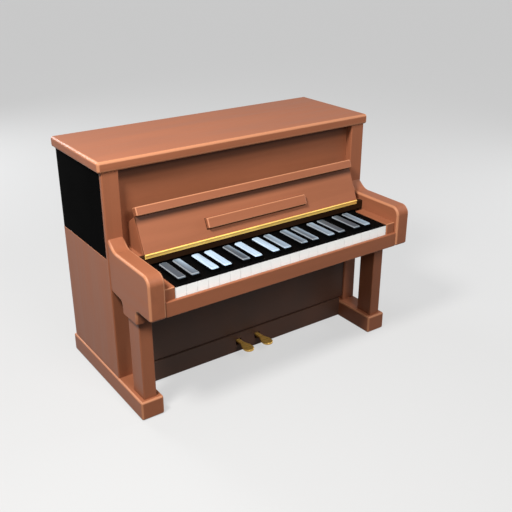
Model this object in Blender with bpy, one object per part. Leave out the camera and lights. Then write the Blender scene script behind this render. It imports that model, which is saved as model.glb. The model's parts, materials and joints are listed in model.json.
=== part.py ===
"""An upright piano with its lid, folding fallboard, keys, pedals and action.

Metres, +Z up. X runs along the keyboard (bass at -X), the player sits at -Y.
The origin is on the floor, in the middle of the piano's footprint.
Depths are measured forward from the back of the case, heights from the floor.
"""

import math

import bmesh
import bpy
from mathutils import Matrix, Vector

# Clearances
SEAT_GAP = 0.0003
PANEL_FIT = 0.0004
GLUE_OVERLAP = 0.002

# Case
CASE_WIDTH = 1.498
CASE_DEPTH = 0.517
CASE_TOP = 1.120
SIDE_THICKNESS = 0.030
STILE_WIDTH = 0.0825
STILE_THICKNESS = 0.041
STILE_ROUNDING = 0.006

# Lid
LID_THICKNESS = 0.051
LID_SIDE_OVERHANG = 0.016
LID_FRONT_OVERHANG = 0.008
LID_ROUNDING = 0.013

# Feet, legs and the arms they carry
FOOT_HEIGHT = 0.097
FOOT_WIDTH = 0.115
FOOT_SIDE_PROUD = 0.006
FOOT_BACK_PROUD = 0.020
FOOT_FRONT_DEPTH = 0.764
FOOT_ROUNDING = 0.010
LEG_WIDTH = 0.065
LEG_OUTER_INSET = 0.0175
LEG_BACK_DEPTH = 0.640
LEG_FRONT_DEPTH = 0.745
LEG_ROUNDING = 0.005
ARM_OUTER_INSET = 0.003
ARM_FRONT_DEPTH = 0.8925
ARM_TOP = 0.775
ARM_NECK_TOP = 0.812
ARM_NECK_RADIUS = 0.060
ARM_NOSE_RADIUS = 0.046
ARM_BOTTOM = 0.567
ARM_NECK_BOTTOM = 0.552
ARM_COVE_RADIUS = 0.020
ARM_BLOCK_BOTTOM = 0.500
ARM_BLOCK_BACK_DEPTH = 0.618
ARM_BLOCK_FRONT_DEPTH = 0.757
ARM_TOE_RADIUS = 0.012
ARM_ROUNDING = 0.014

# Upper and lower front panels
UPPER_PANEL_DEPTH = 0.478
UPPER_PANEL_THICKNESS = 0.022
UPPER_PANEL_RISE = 0.0275
CHEEK_THICKNESS = 0.024
CHEEK_FOOT = 0.010
CHEEK_PLAY = 0.0015
CHEEK_TOP_DROP = 0.046
LOWER_PANEL_DEPTH = 0.510
LOWER_PANEL_THICKNESS = 0.022
LOWER_PANEL_BOTTOM = 0.122
TOE_RAIL_TOP = 0.116
TOE_RAIL_BOTTOM = 0.008
TOE_RAIL_DEPTH = 0.5165
TOE_RAIL_THICKNESS = 0.020
BOTTOM_BOARD_BOTTOM = 0.030
BOTTOM_BOARD_THICKNESS = 0.018
BOTTOM_BOARD_BACK_DEPTH = 0.125

# Keybed, key frame rails, key slip and end blocks
KEYBED_THICKNESS = 0.040
KEYBED_BACK_DEPTH = 0.310
SLIP_DEPTH = 0.887
SLIP_THICKNESS = 0.014
SLIP_HEIGHT = 0.0725
END_BLOCK_RISE = 0.004
END_BLOCK_BACK_DEPTH = 0.640

# Keys
NATURALS = 22
NATURALS_PER_GROUP = 3
END_BLOCK_WIDTH = 0.05525
KEY_GAP = 0.0010
SHOULDER_GAP = 0.0025
KEY_BODY_HEIGHT = 0.025
KEY_FRONT_HEIGHT = 0.060
KEY_FRONT_LIFT = 0.0235
KEY_FRONT_THICKNESS = 0.012
KEY_FRONT_DEPTH = 0.870
KEY_BACK_DEPTH = 0.340
KEY_BALANCE_DEPTH = 0.550
KEY_DIP = 0.010
KEY_LIP_ROUNDING = 0.0015
SHARP_WIDTH = 0.046
SHARP_HEIGHT = 0.020
SHARP_FRONT_DEPTH = 0.844
SHARP_BACK_DEPTH = 0.656
SHARP_CAP_INSET = 0.0005
SHARP_CORNER = 0.009
SHARP_SIDE_SLOPE = 0.001
SHARP_FRONT_SLOPE = 0.003
SHARP_ROUNDING = 0.002
SHARP_PAIR_PITCH = 1.218
SHARP_OFFSET = 0.0056
RAIL_WIDTH = 0.036
FRONT_RAIL_DEPTH = 0.813
BALANCE_RIDGE = 0.012

# Fallboard with its hinge, nameboard and folding music ledge
HINGE_DEPTH = 0.631
HINGE_RISE = 0.059
HINGE_RADIUS = 0.004
HINGE_LEAF = 0.012
HINGE_LEAF_THICKNESS = 0.002
FALLBOARD_LEAN = math.radians(24.0)
FALLBOARD_LENGTH = 0.218
FALLBOARD_END_GAP = 0.0425
FALLBOARD_THICKNESS = 0.016
FALLBOARD_LIP_WIDTH = 0.041
FALLBOARD_LIP_PROUD = 0.022
FALLBOARD_ROUNDING = 0.003
LEDGE_HEIGHT = 0.050
LEDGE_FOOT = 0.048
LEDGE_THICKNESS = 0.020
LEDGE_HALF_WIDTH = 0.288
NAMEBOARD_RISE = 0.0105
NAMEBOARD_THICKNESS = 0.024
NAMEBOARD_SHELF = 0.012

# Back frame, soundboard, plate and strings
BEAM_DEPTH = 0.1195
POST_COUNT = 5
POST_WIDTH = 0.076
POST_DEPTH = 0.085
TOP_BEAM_BOTTOM = 0.985
BOTTOM_BEAM_TOP = 0.200
RIB_COUNT = 8
RIB_WIDTH = 0.022
RIB_HEIGHT = 0.012
RIB_INSET = 0.004
SOUNDBOARD_THICKNESS = 0.009
BRIDGE_HEIGHT = 0.030
BRIDGE_WIDTH = 0.030
PLATE_THICKNESS = 0.010
PLATE_BAR_HEIGHT = 0.028
PLATE_BAR_WIDTH = 0.016
PLATE_BAR_ARCH = 0.002
PLATE_BAYS = 4
STRINGS_PER_BAY = 9
STRING_SIDE = 0.0018
TUNING_PIN_RADIUS = 0.0035
TUNING_PIN_LENGTH = 0.022
HITCH_DROP = 0.050
PIN_DROP = 0.040
PIN_ROW_STEP = 0.018
BRAID_BOTTOM = 0.215
BRAID_HEIGHT = 0.020
BRAID_THICKNESS = 0.003

# Action
HAMMER_REST_GAP = 0.044
HAMMER_HEIGHT = 0.960
HAMMER_LENGTH = 0.052
BUTT_HEIGHT = 0.800
BUTT_DEPTH = 0.245
DAMPER_HEIGHT = 0.845
DAMPER_LENGTH = 0.050
DAMPER_PIVOT_HEIGHT = 0.720
DAMPER_PIVOT_DEPTH = 0.190
DAMPER_THICKNESS = 0.012
ACTION_RAIL = 0.022
HAMMER_WIDTH = 0.011
DAMPER_WIDTH = 0.010
SHANK_SIZE = 0.006

# Pedals
PEDAL_X = 0.060
PEDAL_PIVOT_DEPTH = 0.330
PEDAL_PIVOT_HEIGHT = 0.072
PEDAL_PIN_RADIUS = 0.004
PEDAL_FRONT_DEPTH = 0.640
PEDAL_THICKNESS = 0.012
PEDAL_SHANK_WIDTH = 0.024
PEDAL_PAD_WIDTH = 0.056
PEDAL_PAD_LENGTH = 0.085
PEDAL_SLOT_MARGIN = 0.005
PEDAL_TRAVEL = 0.024
BEARING_LENGTH = 0.032
BEARING_WIDTH = 0.012
BEARING_PLAY = 0.002

# Derived positions
BACK_Y = (ARM_FRONT_DEPTH - FOOT_BACK_PROUD) / 2.0
HALF_CASE = CASE_WIDTH / 2.0
STILE_INNER_X = HALF_CASE - STILE_WIDTH
SIDE_INNER_X = HALF_CASE - SIDE_THICKNESS
STILE_BACK_DEPTH = CASE_DEPTH - STILE_THICKNESS
FOOT_OUTER_X = HALF_CASE + FOOT_SIDE_PROUD
FOOT_INNER_X = FOOT_OUTER_X - FOOT_WIDTH
KEYBED_TOP = ARM_BOTTOM + KEYBED_THICKNESS
KEY_TOP = KEYBED_TOP + KEY_FRONT_LIFT + KEY_FRONT_HEIGHT
KEY_BODY_BOTTOM = KEY_TOP - KEY_BODY_HEIGHT
KEY_FIELD_WIDTH = 2.0 * (STILE_INNER_X - END_BLOCK_WIDTH)
KEY_FIELD_LEFT = -KEY_FIELD_WIDTH / 2.0
NATURAL_PITCH = KEY_FIELD_WIDTH / NATURALS
SHARP_PAIR_SPACING = NATURAL_PITCH * SHARP_PAIR_PITCH
SLIP_TOP = ARM_BOTTOM + SLIP_HEIGHT
END_BLOCK_TOP = KEY_TOP + END_BLOCK_RISE
NAMEBOARD_BOTTOM = KEY_TOP + NAMEBOARD_RISE
UPPER_PANEL_BOTTOM = KEY_TOP + UPPER_PANEL_RISE
HINGE_HEIGHT = KEY_TOP + HINGE_RISE
FALLBOARD_HALF_WIDTH = STILE_INNER_X - FALLBOARD_END_GAP
SLIP_BACK_DEPTH = SLIP_DEPTH - SLIP_THICKNESS
NAMEBOARD_TOP = HINGE_HEIGHT - HINGE_RADIUS - 0.003
SOUNDBOARD_FRONT_DEPTH = POST_DEPTH + RIB_HEIGHT + SOUNDBOARD_THICKNESS
STRING_DEPTH = SOUNDBOARD_FRONT_DEPTH + BRIDGE_HEIGHT + SEAT_GAP
PLATE_BACK_DEPTH = BEAM_DEPTH + SEAT_GAP
PLATE_FRONT_DEPTH = PLATE_BACK_DEPTH + PLATE_THICKNESS


def y_at(depth):
    """The Y of a point that lies this far forward of the case's back."""
    return BACK_Y - depth


def clear_scene():
    for old in list(bpy.data.objects):
        bpy.data.objects.remove(old, do_unlink=True)


def finish_material(name, colour, roughness, metallic=0.0):
    """A Principled material, made once for each name."""
    found = bpy.data.materials.get(name)
    if found:
        return found
    made = bpy.data.materials.new(name)
    made.use_nodes = True
    shader = made.node_tree.nodes["Principled BSDF"]
    shader.inputs["Base Color"].default_value = (*colour, 1.0)
    shader.inputs["Roughness"].default_value = roughness
    shader.inputs["Metallic"].default_value = metallic
    return made


def case_wood():
    return finish_material("case_wood", (0.42, 0.19, 0.11), 0.42)


def shaded_wood():
    return finish_material("shaded_wood", (0.16, 0.08, 0.05), 0.45)


def black_lacquer():
    return finish_material("black_lacquer", (0.004, 0.004, 0.004), 0.2)


def key_black():
    return finish_material("key_black", (0.006, 0.006, 0.007), 0.25)


def sharp_grey():
    return finish_material("sharp_grey", (0.30, 0.34, 0.39), 0.2)


def brass():
    return finish_material("brass", (0.85, 0.56, 0.16), 0.25, 1.0)


def spruce():
    return finish_material("spruce", (0.62, 0.44, 0.24), 0.55)


def beech():
    return finish_material("beech", (0.46, 0.30, 0.17), 0.6)


def cast_iron():
    return finish_material("cast_iron", (0.52, 0.36, 0.12), 0.4, 0.8)


def string_steel():
    return finish_material("string_steel", (0.6, 0.6, 0.6), 0.25, 1.0)


def hammer_felt():
    return finish_material("hammer_felt", (0.75, 0.72, 0.64), 0.9)


def damper_felt():
    return finish_material("damper_felt", (0.45, 0.06, 0.05), 0.95)


def place(name, shape, material, pivot=(0.0, 0.0, 0.0), smooth_angle=None):
    """Turn a bmesh into a named object whose origin is its pivot."""
    bmesh.ops.remove_doubles(shape, verts=shape.verts, dist=0.000001)
    bmesh.ops.recalc_face_normals(shape, faces=shape.faces)
    bmesh.ops.translate(shape, verts=shape.verts, vec=-Vector(pivot))
    mesh = bpy.data.meshes.new(name)
    shape.to_mesh(mesh)
    shape.free()
    mesh.materials.append(material)
    if smooth_angle is not None:
        mesh.shade_smooth()
        mesh.set_sharp_from_angle(angle=smooth_angle)
    made = bpy.data.objects.new(name, mesh)
    made.location = pivot
    bpy.context.scene.collection.objects.link(made)
    return made


def add_prism(shape, outline, low, high, axis):
    """Extrude a closed outline from low to high along one axis.

    The outline's pairs are (depth, height) for axis X, (x, depth) for axis Z
    and (x, height) for axis Y, whose low and high are depths.
    """
    corners = []
    for first, second in outline:
        if axis == "X":
            corners.append((low, y_at(first), second))
        elif axis == "Z":
            corners.append((first, y_at(second), low))
        else:
            corners.append((first, y_at(low), second))
    travel = {"X": (high - low, 0, 0), "Z": (0, 0, high - low), "Y": (0, low - high, 0)}[axis]
    verts = [shape.verts.new(corner) for corner in corners]
    base = shape.faces.new(verts)
    grown = bmesh.ops.extrude_face_region(shape, geom=[base])
    top = [item for item in grown["geom"] if isinstance(item, bmesh.types.BMVert)]
    bmesh.ops.translate(shape, verts=top, vec=travel)
    return verts + top


def add_box(shape, xs, depths, heights):
    lower = [(depths[0], heights[0]), (depths[1], heights[0])]
    outline = lower + [(depths[1], heights[1]), (depths[0], heights[1])]
    return add_prism(shape, outline, xs[0], xs[1], "X")


def round_edges(shape, radius, segments, wanted):
    """Round every sharp edge whose middle and direction pass the test."""
    picked = []
    for edge in shape.edges:
        if len(edge.link_faces) != 2 or edge.calc_face_angle(0.0) < math.radians(25):
            continue
        middle = (edge.verts[0].co + edge.verts[1].co) / 2.0
        along = (edge.verts[1].co - edge.verts[0].co).normalized()
        if wanted(middle, along):
            picked.append(edge)
    bmesh.ops.bevel(shape, geom=picked, offset=radius, offset_type="OFFSET", segments=segments,
                    profile=0.5, affect="EDGES", clamp_overlap=True, material=-1)


def mirror_over(shape, sign):
    """Turn a piece made on the right into the one on the left where sign is -1."""
    if sign < 0:
        bmesh.ops.scale(shape, verts=shape.verts, vec=(-1.0, 1.0, 1.0))
        bmesh.ops.reverse_faces(shape, faces=shape.faces)


def arc(centre, radius, start, end, steps):
    """Points of a circular arc between two angles in degrees."""
    points = []
    for step in range(steps + 1):
        angle = math.radians(start + (end - start) * step / steps)
        points.append((centre[0] + radius * math.cos(angle), centre[1] + radius * math.sin(angle)))
    return points


def combine(target, operation, guides):
    """Join guide solids to a piece, or cut them from it, with Boolean modifiers."""
    for number, guide in enumerate(guides):
        guide.hide_render = True
        guide.display_type = "WIRE"
        step = target.modifiers.new(f"{operation.lower()}_{number}", "BOOLEAN")
        step.operation = operation
        step.solver = "EXACT"
        step.object = guide


# Case pieces


def build_side(name, sign):
    """One side board with its front stile."""
    shape = bmesh.new()
    plan = [
        (SIDE_INNER_X, 0.0),
        (SIDE_INNER_X, STILE_BACK_DEPTH),
        (STILE_INNER_X, STILE_BACK_DEPTH),
        (STILE_INNER_X, CASE_DEPTH),
        (HALF_CASE, CASE_DEPTH),
        (HALF_CASE, 0.0),
    ]
    add_prism(shape, plan, FOOT_HEIGHT + SEAT_GAP, CASE_TOP - SEAT_GAP, "Z")
    front = y_at(CASE_DEPTH)

    def front_corner(middle, along):
        return abs(along.z) > 0.9 and middle.y < front + 0.001

    round_edges(shape, STILE_ROUNDING, 2, front_corner)
    mirror_over(shape, sign)
    place(name, shape, case_wood(), smooth_angle=math.radians(40))


def arm_outline():
    """Side view of an arm: neck, flat top, round nose and the block over the leg."""
    neck = CASE_DEPTH + SEAT_GAP
    outline = arc((neck + ARM_NECK_RADIUS + 0.010, ARM_TOP + ARM_NECK_RADIUS), ARM_NECK_RADIUS, 218, 270, 5)
    outline.insert(0, (neck, ARM_NECK_TOP + 0.004))
    nose = (ARM_FRONT_DEPTH - ARM_NOSE_RADIUS, ARM_TOP - ARM_NOSE_RADIUS)
    outline += arc(nose, ARM_NOSE_RADIUS, 90, 0, 6)
    toe = (ARM_FRONT_DEPTH - ARM_TOE_RADIUS, ARM_BOTTOM + ARM_TOE_RADIUS)
    outline += arc(toe, ARM_TOE_RADIUS, 0, -90, 3)
    outline.append((ARM_BLOCK_FRONT_DEPTH + 0.022, ARM_BOTTOM))
    outline.append((ARM_BLOCK_FRONT_DEPTH, ARM_BOTTOM - 0.022))
    outline.append((ARM_BLOCK_FRONT_DEPTH, ARM_BLOCK_BOTTOM))
    outline.append((ARM_BLOCK_BACK_DEPTH, ARM_BLOCK_BOTTOM))
    cove = (ARM_BLOCK_BACK_DEPTH - ARM_COVE_RADIUS, ARM_NECK_BOTTOM - ARM_COVE_RADIUS)
    outline += arc(cove, ARM_COVE_RADIUS, 0, 90, 3)
    outline.append((neck, ARM_NECK_BOTTOM + 0.010))
    return outline


def build_arm(name, sign):
    shape = bmesh.new()
    add_prism(shape, arm_outline(), STILE_INNER_X, HALF_CASE - ARM_OUTER_INSET, "X")
    neck_y = y_at(CASE_DEPTH + SEAT_GAP)

    def outer_rim(middle, along):
        on_seat = abs(middle.y - neck_y) < 0.001
        under = middle.z < ARM_BLOCK_BOTTOM + 0.001
        return abs(along.x) < 0.5 and not on_seat and not under

    round_edges(shape, ARM_ROUNDING, 2, outer_rim)
    mirror_over(shape, sign)
    place(name, shape, case_wood(), smooth_angle=math.radians(35))


def build_leg_and_foot(name, sign):
    """A sled foot that lies along the side board, and the leg doweled into it."""
    shape = bmesh.new()
    add_box(shape, (FOOT_INNER_X, FOOT_OUTER_X), (-FOOT_BACK_PROUD, FOOT_FRONT_DEPTH), (0.0, FOOT_HEIGHT))
    round_edges(shape, FOOT_ROUNDING, 2, lambda middle, along: middle.z > 0.001)
    mirror_over(shape, sign)
    foot = place(name, shape, case_wood(), smooth_angle=math.radians(40))
    leg = bmesh.new()
    outer = HALF_CASE - LEG_OUTER_INSET
    heights = (FOOT_HEIGHT - GLUE_OVERLAP, ARM_BLOCK_BOTTOM - SEAT_GAP)
    add_box(leg, (outer - LEG_WIDTH, outer), (LEG_BACK_DEPTH, LEG_FRONT_DEPTH), heights)
    round_edges(leg, LEG_ROUNDING, 2, lambda middle, along: abs(along.z) > 0.9)
    mirror_over(leg, sign)
    combine(foot, "UNION", [place(name + "_guide", leg, case_wood())])


def build_lid():
    """The solid lid, hung on its rear lower edge."""
    shape = bmesh.new()
    half = HALF_CASE + LID_SIDE_OVERHANG
    depths = (0.0, CASE_DEPTH + LID_FRONT_OVERHANG)
    add_box(shape, (-half, half), depths, (CASE_TOP, CASE_TOP + LID_THICKNESS))
    back = y_at(0.0) - 0.001
    round_edges(shape, LID_ROUNDING, 3, lambda middle, along: middle.y < back)
    place("lid", shape, case_wood(), (0.0, y_at(0.0), CASE_TOP), math.radians(40))


def fallboard_point(along, proud):
    """Depth and height of a point on the open fallboard, from its hinge axis."""
    depth = HINGE_DEPTH - along * math.sin(FALLBOARD_LEAN) + proud * math.cos(FALLBOARD_LEAN)
    height = HINGE_HEIGHT + along * math.cos(FALLBOARD_LEAN) + proud * math.sin(FALLBOARD_LEAN)
    return depth, height


def cheek_outline():
    """Side view of a cheek: from the panel to the back of the open fallboard."""
    back = UPPER_PANEL_DEPTH - GLUE_OVERLAP
    base = NAMEBOARD_TOP + SEAT_GAP
    foot = fallboard_point(CHEEK_FOOT, -FALLBOARD_THICKNESS - CHEEK_PLAY)
    rest = fallboard_point(FALLBOARD_LENGTH - FALLBOARD_LIP_WIDTH, -FALLBOARD_THICKNESS - SEAT_GAP)
    return [(back, base), (foot[0], base), foot, rest, (back, rest[1] - CHEEK_TOP_DROP)]


def build_upper_panel():
    """The upper front panel, with the two cheeks the open fallboard leans on."""
    shape = bmesh.new()
    half = STILE_INNER_X - PANEL_FIT
    depths = (UPPER_PANEL_DEPTH - UPPER_PANEL_THICKNESS, UPPER_PANEL_DEPTH)
    add_box(shape, (-half, half), depths, (UPPER_PANEL_BOTTOM, CASE_TOP - PANEL_FIT))
    panel = place("upper_front_panel", shape, case_wood())
    cheeks = bmesh.new()
    outer = FALLBOARD_HALF_WIDTH
    inner = outer - CHEEK_THICKNESS
    add_prism(cheeks, cheek_outline(), inner, outer, "X")
    add_prism(cheeks, cheek_outline(), -outer, -inner, "X")
    combine(panel, "UNION", [place("cheek_guide", cheeks, case_wood())])


def build_lower_panel():
    shape = bmesh.new()
    half = STILE_INNER_X - PANEL_FIT
    depths = (LOWER_PANEL_DEPTH - LOWER_PANEL_THICKNESS, LOWER_PANEL_DEPTH)
    add_box(shape, (-half, half), depths, (LOWER_PANEL_BOTTOM, ARM_BOTTOM - PANEL_FIT))
    front = y_at(LOWER_PANEL_DEPTH) + 0.001
    round_edges(shape, 0.002, 1, lambda middle, along: middle.y < front)
    place("lower_front_panel", shape, shaded_wood())


def bearing_outline():
    """Side view of a bearing block with the open saddle for the pedal's pin."""
    reach = BEARING_LENGTH / 2.0
    low = BOTTOM_BOARD_BOTTOM + BOTTOM_BOARD_THICKNESS - GLUE_OVERLAP
    top = PEDAL_PIVOT_HEIGHT + reach
    seat = PEDAL_PIN_RADIUS + SEAT_GAP
    outline = [(PEDAL_PIVOT_DEPTH - reach, low), (PEDAL_PIVOT_DEPTH + reach, low)]
    outline += [(PEDAL_PIVOT_DEPTH + reach, top), (PEDAL_PIVOT_DEPTH + seat, top)]
    outline += arc((PEDAL_PIVOT_DEPTH, PEDAL_PIVOT_HEIGHT), seat, 360, 180, 8)
    outline += [(PEDAL_PIVOT_DEPTH - seat, top), (PEDAL_PIVOT_DEPTH - reach, top)]
    return outline


def build_toe_rail():
    """The toe rail, its bottom board and the pedals' bearing blocks."""
    half = FOOT_INNER_X - PANEL_FIT
    shape = bmesh.new()
    back = TOE_RAIL_DEPTH - TOE_RAIL_THICKNESS
    board_top = BOTTOM_BOARD_BOTTOM + BOTTOM_BOARD_THICKNESS
    profile = [
        (BOTTOM_BOARD_BACK_DEPTH, BOTTOM_BOARD_BOTTOM),
        (back, BOTTOM_BOARD_BOTTOM),
        (back, TOE_RAIL_BOTTOM),
        (TOE_RAIL_DEPTH, TOE_RAIL_BOTTOM),
        (TOE_RAIL_DEPTH, TOE_RAIL_TOP),
        (back, TOE_RAIL_TOP),
        (back, board_top),
        (BOTTOM_BOARD_BACK_DEPTH, board_top),
    ]
    add_prism(shape, profile, -half, half, "X")
    rail = place("toe_rail", shape, shaded_wood())
    blocks = bmesh.new()
    slots = bmesh.new()
    travel_share = (TOE_RAIL_DEPTH - PEDAL_PIVOT_DEPTH) / (PEDAL_FRONT_DEPTH - PEDAL_PIVOT_DEPTH)
    low = PEDAL_PIVOT_HEIGHT - PEDAL_THICKNESS / 2.0 - PEDAL_TRAVEL * travel_share - PEDAL_SLOT_MARGIN
    high = PEDAL_PIVOT_HEIGHT + PEDAL_THICKNESS / 2.0 + PEDAL_SLOT_MARGIN
    slot_half = PEDAL_SHANK_WIDTH / 2.0 + PEDAL_SLOT_MARGIN
    inner = PEDAL_SHANK_WIDTH / 2.0 + BEARING_PLAY
    outer = inner + BEARING_WIDTH
    for centre in (-PEDAL_X, PEDAL_X):
        add_prism(blocks, bearing_outline(), centre - outer, centre - inner, "X")
        add_prism(blocks, bearing_outline(), centre + inner, centre + outer, "X")
        depths = (back - 0.01, TOE_RAIL_DEPTH + 0.01)
        add_box(slots, (centre - slot_half, centre + slot_half), depths, (low, high))
    combine(rail, "UNION", [place("bearing_guide", blocks, shaded_wood())])
    combine(rail, "DIFFERENCE", [place("pedal_slot_guide", slots, shaded_wood())])


# Keyboard


def build_keybed():
    """The keybed with the front, balance and back rails of the key frame."""
    half = STILE_INNER_X - PANEL_FIT
    shape = bmesh.new()
    add_box(shape, (-half, half), (KEYBED_BACK_DEPTH, SLIP_BACK_DEPTH - SEAT_GAP), (ARM_BOTTOM, KEYBED_TOP))
    bed = place("keybed", shape, beech())
    foot = KEYBED_TOP - GLUE_OVERLAP
    carry = KEY_BODY_BOTTOM - SEAT_GAP
    stop = KEY_BODY_BOTTOM - KEY_DIP - 0.0015
    reach = RAIL_WIDTH / 2.0
    end = KEY_FIELD_WIDTH / 2.0
    back_rail = KEY_BACK_DEPTH + reach
    rails = bmesh.new()
    add_box(rails, (-end, end), (back_rail - reach, back_rail + reach), (foot, carry))
    add_box(rails, (-end, end), (FRONT_RAIL_DEPTH - reach, FRONT_RAIL_DEPTH + reach), (foot, stop))
    ridge = [
        (KEY_BALANCE_DEPTH - reach, foot),
        (KEY_BALANCE_DEPTH + reach, foot),
        (KEY_BALANCE_DEPTH + reach, carry - BALANCE_RIDGE),
        (KEY_BALANCE_DEPTH + 0.004, carry),
        (KEY_BALANCE_DEPTH - 0.004, carry),
        (KEY_BALANCE_DEPTH - reach, carry - BALANCE_RIDGE),
    ]
    add_prism(rails, ridge, -end, end, "X")
    combine(bed, "UNION", [place("key_rail_guide", rails, beech())])


def build_key_slip():
    """The slip in front of the keys and the blocks at both ends of the keyboard."""
    shape = bmesh.new()
    half = STILE_INNER_X - PANEL_FIT
    add_box(shape, (-half, half), (SLIP_BACK_DEPTH, SLIP_DEPTH), (ARM_BOTTOM, SLIP_TOP))
    edge_y = y_at(SLIP_DEPTH) + 0.001
    round_edges(shape, 0.004, 2, lambda middle, along: middle.y < edge_y and abs(along.x) > 0.9)
    slip = place("key_slip", shape, case_wood(), smooth_angle=math.radians(40))
    inner = KEY_FIELD_WIDTH / 2.0 + KEY_GAP
    heights = (KEYBED_TOP + 2 * SEAT_GAP, END_BLOCK_TOP)
    front_y = y_at(SLIP_BACK_DEPTH) + 0.001
    blocks = bmesh.new()
    add_box(blocks, (inner, half), (END_BLOCK_BACK_DEPTH, SLIP_BACK_DEPTH), heights)
    add_box(blocks, (-half, -inner), (END_BLOCK_BACK_DEPTH, SLIP_BACK_DEPTH), heights)
    round_edges(blocks, 0.005, 2, lambda middle, along: middle.y < front_y and middle.z > SLIP_TOP)
    combine(slip, "UNION", [place("end_block_guide", blocks, case_wood())])


def sharp_centres():
    """X of each sharp: a pair in every group of three naturals, a little to the treble."""
    centres = []
    group_width = NATURAL_PITCH * NATURALS_PER_GROUP
    for group in range(NATURALS // NATURALS_PER_GROUP):
        middle = KEY_FIELD_LEFT + group_width * (group + 0.5) + SHARP_OFFSET
        centres += [middle - SHARP_PAIR_SPACING / 2.0, middle + SHARP_PAIR_SPACING / 2.0]
    return centres


def natural_plan(number, centres):
    """Plan of one natural: full width in front, narrowed beside the sharps."""
    left = KEY_FIELD_LEFT + number * NATURAL_PITCH + KEY_GAP / 2.0
    right = left + NATURAL_PITCH - KEY_GAP
    tail_left, tail_right = left, right
    reach = SHARP_WIDTH / 2.0 + KEY_GAP
    for centre in centres:
        if left < centre + reach < right and centre < (left + right) / 2.0:
            tail_left = centre + reach
        if left < centre - reach < right and centre > (left + right) / 2.0:
            tail_right = centre - reach
    shoulder = SHARP_FRONT_DEPTH + SHOULDER_GAP
    plan = [(left, KEY_FRONT_DEPTH), (right, KEY_FRONT_DEPTH)]
    if tail_right < right:
        plan += [(right, shoulder), (tail_right, shoulder)]
    plan += [(tail_right, KEY_BACK_DEPTH), (tail_left, KEY_BACK_DEPTH)]
    if tail_left > left:
        plan += [(tail_left, shoulder), (left, shoulder)]
    return plan, left, right


def build_natural(number, centres):
    plan, left, right = natural_plan(number, centres)
    shape = bmesh.new()
    add_prism(shape, plan, KEY_BODY_BOTTOM, KEY_TOP, "Z")
    inner_y = y_at(KEY_FRONT_DEPTH - KEY_FRONT_THICKNESS)
    cut = list(shape.verts) + list(shape.edges) + list(shape.faces)
    bmesh.ops.bisect_plane(shape, geom=cut, plane_co=(0.0, inner_y, 0.0), plane_no=(0.0, 1.0, 0.0))
    strip = [face for face in shape.faces
             if abs(face.calc_center_median().z - KEY_BODY_BOTTOM) < 0.0001
             and face.calc_center_median().y < inner_y]
    apron = bmesh.ops.extrude_discrete_faces(shape, faces=strip)
    drop = KEY_FRONT_HEIGHT - KEY_BODY_HEIGHT
    bmesh.ops.translate(shape, verts=list(apron["faces"][0].verts), vec=(0.0, 0.0, -drop))
    lip_y = y_at(KEY_FRONT_DEPTH) + 0.0001
    top = KEY_TOP - 0.0001
    round_edges(shape, KEY_LIP_ROUNDING, 1, lambda middle, along: middle.z > top and middle.y < lip_y)
    pivot = ((left + right) / 2.0, y_at(KEY_BALANCE_DEPTH), KEY_BODY_BOTTOM)
    place(f"natural_{number + 1:02d}", shape, key_black(), pivot)


def add_sharp_cap(shape, centre):
    """The raised part of a sharp, rounded at its back and tapered to its top."""
    half = SHARP_WIDTH / 2.0 - SHARP_CAP_INSET
    front = SHARP_FRONT_DEPTH - SHARP_CAP_INSET
    reach = half - SHARP_CORNER
    back = SHARP_BACK_DEPTH + SHARP_CORNER
    plan = [(centre - half, front), (centre + half, front)]
    plan += arc((centre + reach, back), SHARP_CORNER, 0, -90, 3)
    plan += arc((centre - reach, back), SHARP_CORNER, 270, 180, 3)
    crown = KEY_TOP + SHARP_HEIGHT
    add_prism(shape, plan, KEY_TOP - GLUE_OVERLAP, crown, "Z")
    front_y = y_at(front) + 0.001
    for vert in shape.verts:
        if vert.co.z > crown - 0.0001:
            vert.co.x = centre + (vert.co.x - centre) * (1.0 - SHARP_SIDE_SLOPE / half)
            if vert.co.y < front_y:
                vert.co.y += SHARP_FRONT_SLOPE
    round_edges(shape, SHARP_ROUNDING, 2, lambda middle, along: middle.z > crown - 0.0001)


def build_sharp(number, centre):
    """A straight key lever with the raised cap glued along its front part."""
    shape = bmesh.new()
    xs = (centre - SHARP_WIDTH / 2.0, centre + SHARP_WIDTH / 2.0)
    add_box(shape, xs, (KEY_BACK_DEPTH, SHARP_FRONT_DEPTH), (KEY_BODY_BOTTOM, KEY_TOP))
    pivot = (centre, y_at(KEY_BALANCE_DEPTH), KEY_BODY_BOTTOM)
    name = f"sharp_{number + 1:02d}"
    lever = place(name, shape, sharp_grey(), pivot, math.radians(35))
    cap = bmesh.new()
    add_sharp_cap(cap, centre)
    combine(lever, "UNION", [place(name + "_guide", cap, sharp_grey())])


def build_keys():
    centres = sharp_centres()
    for number in range(NATURALS):
        build_natural(number, centres)
    for number, centre in enumerate(centres):
        build_sharp(number, centre)


def build_nameboard():
    """The dark board behind the keys that carries the hinge, and the shelf behind it."""
    shape = bmesh.new()
    half = STILE_INNER_X - PANEL_FIT
    front = HINGE_DEPTH - HINGE_LEAF_THICKNESS - SEAT_GAP
    back = front - NAMEBOARD_THICKNESS
    under = NAMEBOARD_TOP - NAMEBOARD_SHELF
    outline = [
        (back, NAMEBOARD_BOTTOM),
        (front, NAMEBOARD_BOTTOM),
        (front, NAMEBOARD_TOP),
        (UPPER_PANEL_DEPTH + SEAT_GAP, NAMEBOARD_TOP),
        (UPPER_PANEL_DEPTH + SEAT_GAP, under),
        (back, under),
    ]
    add_prism(shape, outline, -half, half, "X")
    place("nameboard", shape, shaded_wood())


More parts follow.
